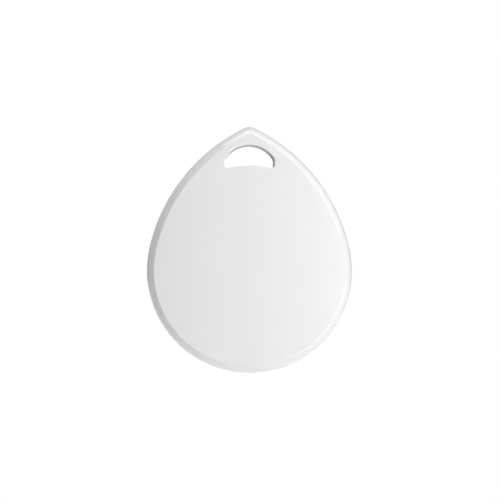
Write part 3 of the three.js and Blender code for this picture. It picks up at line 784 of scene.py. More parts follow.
def carried(tree, curve, section, caps=False):
    """A section carried along a curve."""
    inputs = {"Curve": curve, "Profile Curve": section, "Fill Caps": caps}
    return first(tree, "GeometryNodeCurveToMesh", inputs)


def bar(tree, curve, section):
    """A section carried upright along a curve and closed at both ends."""
    upright = first(tree, "GeometryNodeSetCurveNormal", {"Curve": curve}, mode="Z_UP")
    return carried(tree, upright, section, caps=True)


def copies(tree, points, pattern, **placing):
    """A copy of a pattern at each point."""
    inputs = {"Points": points, "Instance": pattern, **placing}
    return first(tree, "GeometryNodeInstanceOnPoints", inputs)


def strip_tree():
    """Bars of rectangular section along lines that lie flat, with their bends rounded."""
    tree, given = geometry_tree("strip", [
        ("Width", "Float"), ("Thickness", "Float"), ("Bend Radius", "Float"), ("Material", "Material"),
    ])
    bent = eased(tree, as_curves(tree, given), given["Bend Radius"], 5)
    section = oblong(tree, given["Width"], given["Thickness"])
    ended(tree, bar(tree, bent, section), given["Material"])
    return tree


def pad_tree():
    """A flat pad at each point, of that point's size."""
    tree, given = geometry_tree("pads", [("Material", "Material")])
    pad = first(tree, "GeometryNodeMeshCube", {"Size": (1, 1, 1)})
    size = first(tree, "GeometryNodeInputNamedAttribute", {"Name": "size"}, data_type="FLOAT_VECTOR")
    ended(tree, copies(tree, given["Geometry"], pad, Scale=size), given["Material"])
    return tree


def via_tree():
    """Plated rings at an even pitch along a line."""
    tree, given = geometry_tree("vias", [("Pitch", "Float"), ("Radius", "Float"), ("Material", "Material")])
    pitch = {"Curve": as_curves(tree, given), "Length": given["Pitch"]}
    spaced = first(tree, "GeometryNodeResampleCurve", pitch, mode="LENGTH")
    ring = carried(tree, loop_of(tree, 14, given["Radius"]), oblong(tree, VIA_RIM, PLATING))
    ended(tree, copies(tree, spaced, ring), given["Material"])
    return tree


def mask_material(name, colour, weave_depth):
    """Solder mask: a glossy lacquer over the faint weave of the glass cloth under it."""
    material = moulded(name, colour, 0.32, 3000, 0.002, 0.25, 0.08, coat=0.4)
    tree = material.node_tree
    surface = tree.nodes["Principled BSDF"]
    waves = {"Vector": own_place(tree), "Scale": 900, "Distortion": 0.4}
    warp = step(tree, "ShaderNodeTexWave", waves, bands_direction="X").outputs["Fac"]
    weft = step(tree, "ShaderNodeTexWave", waves, bands_direction="Z").outputs["Fac"]
    cloth = maths(tree, "MAXIMUM", warp, weft)
    weave = step(tree, "ShaderNodeBump", {"Height": cloth, "Distance": weave_depth * MM})
    tree.links.new(surface.inputs["Normal"].links[0].from_socket, weave.inputs["Normal"])
    tree.links.new(weave.outputs["Normal"], surface.inputs["Normal"])
    return material


def tube(inner, outer, low, high, x=0, y=0, steps=48):
    """A ring of rectangular section about a line along z, or a plain cylinder where inner is 0."""
    return turned([(inner, low), (outer, low), (outer, high), (inner, high)], x, y, steps)


def board_blank():
    """The routed board: mask on both faces, bare glass fibre at its edge, and four clearance holes."""
    blank = inside_of_case(WALL + BOARD_INSET, SLEEVE + BOARD_INSET, CAVITY_TOP - 0.4, BOARD_Z, BOARD_TOP)
    holes = [swept(lambda _, x=x, y=y: circle(x, y, SCREW_R + 0.15), [(0, BOARD_Z - 1), (0, BOARD_TOP + 1)])
             for x, y in screw_places]
    return combined(blank, gathered(holes), "DIFFERENCE")


def two_tone(made, name, top, side, sharp=SHARP):
    """A piece in one material on the faces that look along its depth, and another on the rest."""
    finished(made, name, top, sharp)
    made.data.materials.append(side)
    for face in made.data.polygons:
        face.material_index = 0 if abs(face.normal.y) > 0.7 else 1
    return made


def pin(part, across, up):
    """A point on the board, measured from the middle of a part."""
    return part[0] + across, part[1] + up


def corner_pads(part, reach, width, height):
    """Four pads at the corners of a part."""
    points = [pin(part, side * reach[0], end * reach[1]) for side in (-1, 1) for end in (-1, 1)]
    return [(*point, width, height) for point in points]


def part_pads():
    """Where the pads lie on the front of the board and how large they are, from the parts that they carry."""
    pads = []
    for part in CAPACITORS + RESISTORS:
        pads += [(*pin(part, 0, side * CHIP_PAD), 0.95, 0.75) for side in (-1, 1)]
    for part, reach, width, height in (
        (ANTENNA, ANTENNA_PAD, 0.8, 1.7),
        (INDUCTOR, INDUCTOR_PAD, 0.9, 2.6),
        (CLOCK_CRYSTAL, CLOCK_PAD, 0.9, 1.6),
    ):
        pads += [(*pin(part, side * reach, 0), width, height) for side in (-1, 1)]
    pads += corner_pads(RADIO_CRYSTAL, CRYSTAL_PAD, 0.75, 0.65)
    across, up = DRIVER_PAD
    pads += [(*pin(DRIVER, *leg), 0.7, 0.7) for leg in ((across, 0), (-across, up), (-across, -up))]
    pads += [(*pin(contact, -0.3, 0), 1.7, 1.6) for contact in BUZZER_CONTACTS]
    pads += corner_pads(SWITCH, SWITCH_PAD, 0.6, 0.9)
    for i in range(8):
        along = (i - 3.5) * RADIO_PITCH
        pads += [(*pin(RADIO, along, side * RADIO_PAD), 0.28, 0.6) for side in (-1, 1)]
        pads += [(*pin(RADIO, side * RADIO_PAD, along), 0.6, 0.28) for side in (-1, 1)]
    return pads


def jogged(start, end):
    """A trace from start to end: straight, then off at 45 degrees."""
    (x0, y0), (x1, y1) = start, end
    across, up = x1 - x0, y1 - y0
    diagonal = min(abs(across), abs(up))
    bend = (x1 - math.copysign(diagonal, across), y1 - math.copysign(diagonal, up))
    z = BOARD_TOP + TRACE_HEIGHT / 2
    corners = [start, bend, end] if math.dist(start, bend) > 0.3 else [start, end]
    return [(x, y, z) for x, y in corners]


def traces():
    """Lines between the pads of the radio and those of the parts round it, and between the other parts."""
    out = RADIO_EXIT
    switch_x, switch_y = SWITCH_PAD
    driver_x, driver_y = DRIVER_PAD
    crystal_x, crystal_y = CRYSTAL_PAD
    ends = [
        (pin(RADIO, 0.25, out), pin(CLOCK_CRYSTAL, CLOCK_PAD, 0)),
        (pin(RADIO, -1.25, out), pin(CLOCK_CRYSTAL, -CLOCK_PAD, 0)),
        (pin(RADIO, -0.25, -out), pin(RADIO_CRYSTAL, -crystal_x, crystal_y)),
        (pin(RADIO, 0.75, -out), pin(RADIO_CRYSTAL, crystal_x, crystal_y)),
        (pin(RADIO, out, 1.25), pin(CAPACITORS[0], 0, -CHIP_PAD)),
        (pin(RADIO, out, 0.75), pin(CAPACITORS[1], 0, -CHIP_PAD)),
        (pin(RADIO, -out, 0.75), pin(CAPACITORS[2], 0, CHIP_PAD)),
        (pin(RADIO, -out, -0.75), pin(CAPACITORS[2], 0, -CHIP_PAD)),
        (pin(RADIO, -out, -1.75), pin(RESISTORS[2], 0, CHIP_PAD)),
        (pin(RADIO, out, -0.25), pin(SWITCH, -switch_x, switch_y)),
        (pin(RADIO, out, -1.25), pin(SWITCH, -switch_x, -switch_y)),
        (pin(RADIO, 1.75, -out), pin(CAPACITORS[3], 0, CHIP_PAD)),
        (pin(CAPACITORS[3], 0, -CHIP_PAD), pin(ANTENNA, -ANTENNA_PAD, 0)),
        (pin(RESISTORS[1], 0, -CHIP_PAD), pin(CAPACITORS[1], 0, CHIP_PAD)),
        (pin(RESISTORS[0], 0, -CHIP_PAD), pin(CAPACITORS[4], 0, CHIP_PAD)),
        (pin(CAPACITORS[4], 0, -CHIP_PAD), pin(INDUCTOR, -INDUCTOR_PAD, 0)),
        (pin(INDUCTOR, INDUCTOR_PAD, 0), pin(CAPACITORS[5], 0, CHIP_PAD)),
        (pin(SWITCH, switch_x, -switch_y), pin(DRIVER, -driver_x, driver_y)),
        (pin(DRIVER, driver_x, 0), pin(CAPACITORS[5], 0, -CHIP_PAD)),
        (pin(DRIVER, -driver_x, -driver_y), pin(BUZZER_CONTACTS[1], -0.3, 0.8)),
        (pin(RESISTORS[2], 0, -CHIP_PAD), pin(BUZZER_CONTACTS[0], -1.1, 0)),
    ]
    return [jogged(start, end) for start, end in ends]


strip = strip_tree()
vias = via_tree()
mask_green = mask_material("mask_green", (0.010, 0.095, 0.030), 0.004)
mask_over_copper = mask_material("mask_over_copper", (0.028, 0.20, 0.062), 0.001)
glass_fibre = moulded("glass_fibre", (0.42, 0.36, 0.17), 0.6, 2500, 0.01, 0.3)
contact_gold = metal("contact_gold", (0.645, 0.407, 0.102), 0.28)

board = two_tone(board_blank(), "routed_board", mask_green, glass_fibre)
fitted(board, "tag_body", "board_green", "main_board")

corners, edges = [], []
for line in traces():
    edges += [(len(corners) + i, len(corners) + i + 1) for i in range(len(line) - 1)]
    corners += line
copper = {"Width": TRACE_WIDTH, "Thickness": TRACE_HEIGHT, "Bend Radius": 0.1, "Material": mask_over_copper}
fitted(shaded(grown(drawn(corners, edges), strip, copper), "board_traces", SOFT), "tag_body", "board_green")

pads = part_pads()
places = [(x, y, BOARD_TOP + PAD_HEIGHT / 2) for x, y, _, _ in pads]
sizes = [(width, height, PAD_HEIGHT) for _, _, width, height in pads]
lands = grown(drawn(places, sizes=sizes), pad_tree(), {"Material": contact_gold})
fitted(shaded(lands, "board_pads", SOFT), "tag_body", "contact_gold")

plated = {"Pitch": VIA_PITCH, "Radius": VIA_R, "Material": contact_gold}
for name, z in (("front", BOARD_TOP + VIA_LIFT), ("rear", BOARD_Z - VIA_LIFT)):
    rim = [(x, y, z) for x, y in drop_outline(VIA_INSET) if y < HOLE_ARCH_Y - 3][:-1]
    clear = LAND_R[1] + 3 * VIA_R
    free = [all(math.dist((x, y), screw) > clear for screw in screw_places) for x, y, _ in rim]
    edges = [(i - 1, i) for i in range(1, len(rim)) if free[i - 1] and free[i]] + [(len(rim) - 1, 0)]
    fitted(shaded(grown(drawn(rim, edges), vias, plated), name + "_vias", SOFT), "tag_body", "contact_gold")
    low, high = z - PLATING / 2, z + PLATING / 2
    lands = gathered([tube(*LAND_R, low, high, x, y) for x, y in screw_places])
    fitted(finished(lands, name + "_lands", contact_gold), "tag_body", "contact_gold")

# Parts on the board, soldered to its front: the radio chip in black epoxy, two crystals in ceramic trays with
# metal lids, a ceramic antenna, a boost inductor with the transistor that drives the buzzer, and chip
# capacitors and resistors.
ON_BOARD = 5.88
ASKEW = 0.02
chip_epoxy = moulded("chip_epoxy", (0.013, 0.013, 0.014), 0.42, 8000, 0.004, 0.25, 0.1)
can_metal = metal("can_metal", (0.52, 0.53, 0.54), 0.26)
tinned = metal("tinned", (0.60, 0.60, 0.58), 0.36, grain=4000, bump_mm=0.004)
fired_ceramic = moulded("fired_ceramic", (0.77, 0.74, 0.65), 0.42, 7000, 0.002, 0.05)
ferrite = moulded("ferrite", (0.035, 0.033, 0.032), 0.55, 5000, 0.008, 0.35)
capacitor_tan = moulded("capacitor_tan", (0.397, 0.270, 0.138), 0.4, 6000, 0.003, 0.12)
resistor_black = moulded("resistor_black", (0.016, 0.016, 0.018), 0.25, 6000, 0.001, 0.2)


def radio_chip():
    x, y = RADIO
    body = block(5, 5, ON_BOARD, ON_BOARD + 0.8, x, y, 0.07)
    top = ON_BOARD + 0.8
    dimple = [(0, ON_BOARD + 0.74), (0.2, ON_BOARD + 0.75), (0.28, top), (0.28, top + 0.2), (0, top + 0.2)]
    return combined(body, turned(dimple, x - 1.7, y + 1.7, 32), "DIFFERENCE")


def crystal(name, node, width, height, tall, x, y):
    """A ceramic tray with a seam-welded metal lid."""
    tray = block(width, height, ON_BOARD, ON_BOARD + 0.6 * tall, x, y, 0.03)
    lid = block(width - 0.2, height - 0.2, ON_BOARD + 0.61 * tall, ON_BOARD + tall, x, y, 0.06)
    fitted(finished(lid, name + "_lid", can_metal, SOFT), "tag_body", "can_silver", node)
    fitted(finished(tray, name + "_tray", fired_ceramic, SOFT), "tag_body", "ceramic_white")


def joined(parts, name, sharp=SOFT):
    """Finished parts as one piece that keeps their materials."""
    base, *others = parts
    for other in others:
        for material in other.data.materials:
            if material.name not in base.data.materials:
                base.data.materials.append(material)
    shape = bmesh.new()
    for part in parts:
        before = len(shape.faces)
        shape.from_mesh(part.data)
        shape.faces.ensure_lookup_table()
        for face in shape.faces[before:]:
            own = part.data.materials[face.material_index].name
            face.material_index = base.data.materials.find(own)
    shape.to_mesh(base.data)
    shape.free()
    for other in others:
        bpy.data.objects.remove(other)
    return shaded(base, name, sharp)


def antenna():
    """A ceramic block with soldered ends and a printed line that zigzags over its top."""
    x, y = ANTENNA
    body = finished(block(3.0, 1.56, ON_BOARD, ON_BOARD + 0.85, x, y, 0.04), "body", fired_ceramic)
    ends = [finished(block(0.45, 1.6, ON_BOARD, ON_BOARD + 0.9, x + side * 1.375, y, 0.05), "end", tinned)
            for side in (-1, 1)]
    top = ON_BOARD + 0.85 + 0.01
    zigzag = []
    for i in range(7):
        along = x - 1.05 + 0.35 * i
        sides = (0.55, -0.55) if i % 2 else (-0.55, 0.55)
        zigzag += [(along, y + side, top) for side in sides]
    printed = {"Width": 0.12, "Thickness": 0.03, "Bend Radius": 0.06, "Material": tinned}
    return joined([body, *ends, grown(path(zigzag), strip, printed)], "antenna_block")


def driver():
    """A moulded transistor with three gull-wing leads."""
    x, y = DRIVER
    body = finished(block(1.3, 2.9, ON_BOARD + 0.1, ON_BOARD + 0.95, x, y, 0.1), "body", chip_epoxy)
    profile = [(0, 0.42), (0.25, 0.42), (0.42, 0.06), (0.72, 0.06)]
    bent = {"Width": 0.1, "Thickness": 0.4, "Bend Radius": 0.08, "Material": tinned}
    leads = []
    for side, offset in ((1, 0), (-1, 0.95), (-1, -0.95)):
        stand = (
            Matrix.Translation((x + side * 0.5, y + offset, ON_BOARD))
            @ Matrix.Rotation(0 if side > 0 else math.pi, 4, "Z")
            @ Matrix.Rotation(math.radians(90), 4, "X")
        )
        leads.append(grown(path([(along, up, 0) for along, up in profile]), strip, bent, stand))
    return joined([body, *leads], "driver_transistor")


def inductor():
    """A ferrite block with cut corners, and a ring of glue round its drum core."""
    x, y = INDUCTOR
    half, cut = 1.5, 0.45
    corners = [(half, cut - half), (half, half - cut), (half - cut, half), (cut - half, half),
               (-half, half - cut), (-half, cut - half), (cut - half, -half), (half - cut, -half)]

    def outline(inset):
        scale = 1 - inset / half
        return [(x + across * scale, y + up * scale) for across, up in corners]

    top = ON_BOARD + 1.0
    body = swept(outline, [(0.05, ON_BOARD), (0, ON_BOARD + 0.05), (0, top - 0.06), (0.06, top)])
    groove = tube(1.05, 1.22, top - 0.12, top + 1, x, y, 64)
    body = finished(combined(body, groove, "DIFFERENCE"), "body", ferrite)
    bead = [(1.04, top - 0.13), (1.23, top - 0.13), (1.2, top - 0.07), (1.07, top - 0.07)]
    glue = finished(turned(bead, x, y, 64), "glue", fired_ceramic)
    return joined([body, glue], "inductor_block", SHARP)


def rounded_bar(tree, length, width, height, corner):
    """A bar along x whose long edges are rounded, standing on z = 0."""
    rise = maths(tree, "MULTIPLY", height, 0.5)
    start, end = [
        first(tree, "ShaderNodeCombineXYZ", {"X": maths(tree, "MULTIPLY", length, half), "Z": rise})
        for half in (-0.5, 0.5)
    ]
    line = first(tree, "GeometryNodeCurvePrimitiveLine", {"Start": start, "End": end})
    return bar(tree, line, eased(tree, oblong(tree, width, height), corner, 3))


def moved(tree, geometry, shift):
    """Geometry moved along by shift."""
    return first(tree, "GeometryNodeTransform", {"Geometry": geometry, "Translation": shift})


def any_turn(tree, low, high, seed):
    """A turn about z, picked at random between two angles."""
    inputs = {0: (0, 0, low), 1: (0, 0, high), "Seed": seed}
    return first(tree, "FunctionNodeRandomValue", inputs, data_type="FLOAT_VECTOR")


def chip_tree():
    """At each point a small bar with a metal cap on each end, set down a little askew as a machine does."""
    tree, given = geometry_tree("chips", [
        ("Length", "Float"), ("Width", "Float"), ("Height", "Float"), ("Cap", "Float"), ("Seed", "Int"),
        ("Material", "Material"), ("Cap Material", "Material"),
    ])
    slim, low = [maths(tree, "SUBTRACT", given[side], 0.04) for side in ("Width", "Height")]
    short = maths(tree, "SUBTRACT", given["Length"], given["Cap"])
    body = painted(tree, rounded_bar(tree, short, slim, low, 0.05), given["Material"])
    cap = rounded_bar(tree, given["Cap"], given["Width"], given["Height"], 0.07)
    cap = painted(tree, cap, given["Cap Material"])
    parts = [body]
    for side in (-0.5, 0.5):
        shift = first(tree, "ShaderNodeCombineXYZ", {"X": maths(tree, "MULTIPLY", short, side)})
        parts.append(moved(tree, cap, shift))
    chip = first(tree, "GeometryNodeJoinGeometry", {"Geometry": parts})
    quarter = math.pi / 2
    turn = any_turn(tree, quarter - ASKEW, quarter + ASKEW, given["Seed"])
    spread = copies(tree, given["Geometry"], chip, Rotation=turn)
    real = first(tree, "GeometryNodeRealizeInstances", {"Geometry": spread})
    body_only = first(tree, "GeometryNodeMaterialSelection", {"Material": given["Material"]})
    last = {"Geometry": real, "Selection": body_only, "Material": given["Material"]}
    step(tree, "NodeGroupOutput", {"Geometry": first(tree, "GeometryNodeSetMaterial", last)})
    return tree


fitted(finished(radio_chip(), "radio_package", chip_epoxy, SOFT), "tag_body", "chip_black", "radio_chip")
crystal("radio_crystal", "radio_crystal", 2.0, 1.6, 0.5, *RADIO_CRYSTAL)
crystal("clock_crystal", "clock_crystal", 3.2, 1.5, 0.75, *CLOCK_CRYSTAL)
fitted(antenna(), "tag_body", "ceramic_white", "chip_antenna")
fitted(driver(), "tag_body", "chip_black", "buzzer_driver")
fitted(inductor(), "tag_body", "chip_black", "boost_inductor")
chips = chip_tree()
for name, finish, points, height, material, seed in (
    ("capacitor", "capacitor_tan", CAPACITORS, 0.7, capacitor_tan, 3),
    ("resistor", "resistor_black", RESISTORS, 0.45, resistor_black, 5),
):
    size = {"Length": 1.6, "Width": 0.8, "Height": height, "Cap": 0.35, "Seed": seed}
    size |= {"Material": material, "Cap Material": tinned}
    row = grown(drawn([(x, y, ON_BOARD) for x, y in points]), chips, size)
    nodes = [f"{name}_{i + 1}" for i in range(len(points))]
    fitted(shaded(row, name + "_row", SOFT), "tag_body", finish, *nodes)

# Press switch. A nylon base with a well, a snap dome of spring steel, a nylon plunger that the face presses,
# and a steel cover whose two sides are bent down over the base.
SWITCH_WIDTH = 4.0
SWITCH_HEIGHT = 3.2
DOME_Z = ON_BOARD + 0.3
PLUNGER_Z = DOME_Z + 0.35
PLUNGER_R = 0.8
PLUNGER_FOOT_R = 1.15
COVER_Z = ON_BOARD + 0.78
COVER_SHEET = 0.12
COVER_HOLE_R = 0.88
switch_nylon = moulded("switch_nylon", (0.73, 0.70, 0.63), 0.5, 5000, 0.006, 0.06)
plunger_nylon = moulded("plunger_nylon", (0.02, 0.02, 0.022), 0.45, 5000, 0.006, 0.2)
dome_steel = metal("dome_steel", (0.56, 0.55, 0.53), 0.22, (0, SWITCH_Y, 0))


def switch_base():
    base = block(SWITCH_WIDTH, SWITCH_HEIGHT, ON_BOARD, COVER_Z - 0.03, 0, SWITCH_Y, 0.06)
    well = [(0, DOME_Z), (1.2, DOME_Z), (1.3, DOME_Z + 0.05), (1.3, COVER_Z + 1), (0, COVER_Z + 1)]
    return combined(base, turned(well, *SWITCH, 64), "DIFFERENCE")


def switch_dome():
    rise, rim, skin, count = 0.26, 1.15, 0.06, 12
    top = [(rim * i / count, DOME_Z + 0.04 + rise * (1 - (i / count) ** 2)) for i in range(count + 1)]
    under = [(r, z - skin + 0.03 * r / rim) for r, z in top[:-1]]
    return turned([*under, *reversed(top)], *SWITCH, 64)


def switch_plunger():
    foot_top, top = PLUNGER_Z + 0.1, FACE_Z - 0.15
    foot = [(0, PLUNGER_Z), (PLUNGER_FOOT_R, PLUNGER_Z), (PLUNGER_FOOT_R, foot_top), (PLUNGER_R, foot_top)]
    head = [(PLUNGER_R, FACE_Z - 0.2), (PLUNGER_R - 0.1, top), (0, top)]
    return turned(rounded(foot + head, 0.04, closed=False, steps=4), *SWITCH, 64)


def switch_cover():
    plate = block(SWITCH_WIDTH + 0.3, SWITCH_HEIGHT - 0.4, COVER_Z, COVER_Z + COVER_SHEET, *SWITCH, 0.03)
    plate = combined(plate, tube(0, COVER_HOLE_R, COVER_Z - 1, COVER_Z + 1, *SWITCH, 64), "DIFFERENCE")
    for side in (-1, 1):
        x = side * (SWITCH_WIDTH / 2 + 0.1)
        clip = block(0.1, SWITCH_HEIGHT - 1.4, ON_BOARD + 0.15, COVER_Z + 0.1, x, SWITCH_Y, 0.02)
        plate = combined(plate, clip, "UNION")
    return plate


fitted(finished(switch_base(), "dome_seat", switch_nylon, SOFT), "tag_body", "switch_cream", "switch_base")
snap_dome = finished(switch_dome(), "snap_dome", dome_steel)
fitted(snap_dome, "tag_body", "can_silver", "switch_dome")
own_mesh(snap_dome)
fitted(finished(switch_plunger(), "press_plunger", plunger_nylon), "plunger", "chip_black", "switch_plunger")
fitted(finished(switch_cover(), "bent_cover", can_metal, SOFT), "tag_body", "can_silver", "switch_cover")

# Contacts. Gold-plated spring bronze, cut in strips and bent: a finger that bears on the cell's cap, a tab at
# the side of its can, and two leaves that reach the buzzer's disc. All are soldered by their foot.
CONTACT_SHEET = 0.15
FINGER_WIDTH = 3.0
TAB_WIDTH = 4.2
LEAF_SHEET = 0.08
LEAF_WIDTH = 1.2
CELL_R = 10.0
CELL_Z = 1.7
CELL_TOP = 4.9
contact_z = BOARD_Z - 0.03 - CONTACT_SHEET / 2


def bent_contact(name, line, thickness, width, radius, x, y, *nodes):
    """A strip bent along a line of (x, z) points, about a place on the board."""
    stand = Matrix.Translation((x, y, 0)) @ Matrix.Rotation(math.radians(90), 4, "X")
    shape = {"Width": thickness, "Thickness": width, "Bend Radius": radius, "Material": contact_gold}
    made = grown(path([(along, up, 0) for along, up in line]), strip, shape, stand)
    fitted(shaded(made, name, SOFT), "tag_body", "contact_gold", *nodes)


finger_z = CELL_TOP + 0.05 + CONTACT_SHEET / 2
finger = [(-5.5, contact_z), (-1.9, contact_z)]
finger += [(0.6, finger_z + 0.01), (2.4, finger_z + 0.01), (3.4, finger_z + 0.09)]
bent_contact("battery_finger", finger, CONTACT_SHEET, FINGER_WIDTH, 1.2, 0, 0, "negative_contact")
tab_x = CELL_R + 0.16
tab = [(tab_x, 4.1), (tab_x, contact_z), (tab_x + 2.5, contact_z)]
bent_contact("battery_tab", tab, CONTACT_SHEET, TAB_WIDTH, 0.25, 0, 0, "positive_contact")
foot_z = ON_BOARD + 0.05
for i, top in enumerate((CERAMIC_Z, PLATE_Z)):
    leaf = [(-1.0, foot_z), (0.85, foot_z), (0.85, foot_z + 0.22), (-0.4, top - 0.12), (-0.9, top - 0.06)]
    name, node = f"buzzer_leaf_{i + 1}", f"buzzer_contact_{i + 1}"
    bent_contact(name, leaf, LEAF_SHEET, LEAF_WIDTH, 0.1, *BUZZER_CONTACTS[i], node)

# Board screws. Four thread-forming steel screws with cross recesses, driven from the back of the board into
# the bosses of the face shell.
HEAD_R = 1.15
HEAD_Z = BOARD_Z - 0.03 - 0.6
THREAD_PITCH = 0.35
THREAD_RIDGE = 0.1
THREAD_START = 5.75
THREAD_TURNS = 4.0
screw_steel = metal("screw_steel", (0.33, 0.34, 0.36), 0.3, grain=6000, bump_mm=0.003)


def screw_blank():
    """Head, shank and cross recess of one screw on the body's centre line."""
    core, under = SCREW_R - 0.12, BOARD_Z - 0.03
    head = [(0, HEAD_Z), (0.8, HEAD_Z), (HEAD_R, HEAD_Z + 0.3), (HEAD_R, under), (core, under)]
    shank = [(core, SCREW_END - 0.4), (0.12, SCREW_END), (0, SCREW_END)]
    blank = turned([*rounded(head, 0.12, closed=False, steps=5), *shank], steps=48)
    for width, height in ((1.1, 0.24), (0.24, 1.1)):
        blank = combined(blank, block(width, height, HEAD_Z - 1, HEAD_Z + 0.32), "DIFFERENCE")
    return finished(blank, "screw", screw_steel)


def screw_tree():
    """At each point a copy of a screw with a thread swept along a helix, stopped at any angle."""
    tree, given = geometry_tree("screws", [
        ("Screw", "Object"), ("Pitch", "Float"), ("Turns", "Float"), ("Radius", "Float"), ("Start", "Float"),
        ("Seed", "Int"), ("Material", "Material"),
    ])
    helix = first(tree, "GeometryNodeCurveSpiral", {
        "Resolution": 24,
        "Rotations": given["Turns"],
        "Start Radius": given["Radius"],
        "End Radius": given["Radius"],
        "Height": maths(tree, "MULTIPLY", given["Pitch"], given["Turns"]),
    })
    thread = bar(tree, helix, loop_of(tree, 4, THREAD_RIDGE))
    raised = moved(tree, thread, first(tree, "ShaderNodeCombineXYZ", {"Z": given["Start"]}))
    blank = step(tree, "GeometryNodeObjectInfo", {"Object": given["Screw"]}).outputs["Geometry"]
    screw = first(tree, "GeometryNodeJoinGeometry", {"Geometry": [blank, raised]})
    turn = any_turn(tree, 0, math.pi, given["Seed"])
    ended(tree, copies(tree, given["Geometry"], screw, Rotation=turn), given["Material"])
    return tree


pattern = screw_blank()
pattern.data.transform(case_to_frame.inverted())
driven = {
    "Screw": pattern,
    "Pitch": THREAD_PITCH,
    "Turns": THREAD_TURNS,
    "Radius": SCREW_R - 0.1,
    "Start": THREAD_START,
    "Seed": 8,
    "Material": screw_steel,
}
screws = grown(drawn([(x, y, 0) for x, y in screw_places]), screw_tree(), driven)
bpy.data.objects.remove(pattern)
nodes = [f"board_screw_{i + 1}" for i in range(len(screw_places))]
fitted(shaded(screws, "thread_forming_screws"), "tag_body", "screw_steel", *nodes)

# Back shell. The rear half of the case, moulded in the same white plastic and welded to the face shell by a
# tongue in a groove. It has the battery well with three threaded slots, and marks for the door's two stops.
BACK_ROUND = 1.0
BACK_WALL = 1.4
TONGUE_TOP = 4.9
TONGUE_WALL = (0.85, 1.55)
DOOR_FLANGE = 1.6
DOOR_SEAT_R = 13.5
WELL_R = 11.7
WELL_TOP = 4.6
THREAD_LEAD = 12.0
THREAD_STARTS = (90, 210, 330)
LUG_Z = 3.3
LUG_H = 0.7
SLOT_OUT = 12.4
SLOT_CLEARANCE = 0.15
SLOT_TURNS = (-8.5, 74)
OPEN_TURN = 66
MARK_DEPTH = 0.2
MARK_RING_R = 15.7
DOT_R = 0.5
RING_MARK = (0.34, 0.6)


def back_edge():
    """The rounded edge of the back as [inset, z], from the flat up to the side."""
    turns = [math.pi / 2 * i / 8 for i in range(9)]
    return [(BACK_ROUND * (1 - math.sin(a)), BACK_ROUND * (1 - math.cos(a))) for a in turns]


def thread_bar(start, inner, outer, half_height, turns):
    """A bar on the door's thread, from one turn of the door to another."""
    first, last = turns
    steps = max(4, round((last - first) / 2))
    shape = bmesh.new()
    sections = []
    for i in range(steps + 1):
        turn = first + (last - first) * i / steps
        middle = LUG_Z - THREAD_LEAD * turn / 360
        low, high = middle - half_height, middle + half_height
        corners = ((inner, low), (outer, low), (outer, high), (inner, high))
        places = [place(*on_ring(radius, start - turn), z) for radius, z in corners]
        sections.append([shape.verts.new(corner) for corner in places])
    for low, high in zip(sections, sections[1:]):
        for k in range(4):
            shape.faces.new((low[k], low[(k + 1) % 4], high[(k + 1) % 4], high[k]))
    shape.faces.new(sections[0])
    shape.faces.new(sections[-1])
    return solid(shape)


def sunk(outline):
    """What a shallow mark in the back takes away."""
    return swept(lambda _: outline, [(0, -1), (0, MARK_DEPTH)])


def back_shell():
    rim = [(0, SEAM_Z - SEAM_GAP - SEAM_CHAMFER), (SEAM_CHAMFER, SEAM_Z - SEAM_GAP)]
    shell = swept(drop_outline, [*back_edge(), *rim])
    shell = combined(shell, inside_of_case(WALL, SLEEVE, CAVITY_TOP, BACK_WALL, SEAM_Z + 1), "DIFFERENCE")
    outer, inner = TONGUE_WALL
    tongue = [(inner, SEAM_Z - 0.6), (outer, SEAM_Z - 0.6), (outer, TONGUE_TOP - 0.1)]
    tongue += [(outer + 0.1, TONGUE_TOP), (inner - 0.1, TONGUE_TOP), (inner, TONGUE_TOP - 0.1)]
    shell = combined(shell, swept(drop_outline, tongue, ring=True), "UNION")
    lip = [(DOOR_SEAT_R + 0.25, 0.0), (DOOR_SEAT_R + 0.07, 0.07), (DOOR_SEAT_R, 0.25)]
    seat = [(0, -1), (DOOR_SEAT_R + 0.25, -1), *lip, (DOOR_SEAT_R, BACK_WALL + 1), (0, BACK_WALL + 1)]
    shell = combined(shell, turned(seat, steps=180), "DIFFERENCE")
    floor_z, wall_r, well_r = DOOR_FLANGE + 0.1, DOOR_SEAT_R + 1.2, DOOR_SEAT_R - 0.2
    shelf_z = floor_z + 0.9
    foot = [(DOOR_SEAT_R, BACK_WALL - 1), (wall_r, BACK_WALL - 1), (wall_r, shelf_z), (well_r, shelf_z)]
    rim = [(well_r, WELL_TOP), (WELL_R + 0.1, WELL_TOP), (WELL_R, WELL_TOP - 0.1)]
    throat = [(WELL_R, floor_z + 0.15), (WELL_R + 0.15, floor_z), (DOOR_SEAT_R, floor_z)]
    shell = combined(shell, turned(foot + rim + throat, steps=180), "UNION")
    for start in THREAD_STARTS:
        slot = thread_bar(start, WELL_R - 0.4, SLOT_OUT, LUG_H / 2 + SLOT_CLEARANCE, SLOT_TURNS)
        shell = combined(shell, slot, "DIFFERENCE")
    shut, opened = on_ring(MARK_RING_R, 90), on_ring(MARK_RING_R, 90 - OPEN_TURN)
    marks = gathered([sunk(circle(*shut, DOT_R)), tube(*RING_MARK, -1, MARK_DEPTH, *opened)])
    shell = combined(shell, marks, "DIFFERENCE")
    return combined(shell, ring_hole_cut(), "DIFFERENCE")


back_moulding = finished(back_shell(), "back_moulding", case_plastic)
fitted(back_moulding, "tag_body", "case_white", "back_shell")

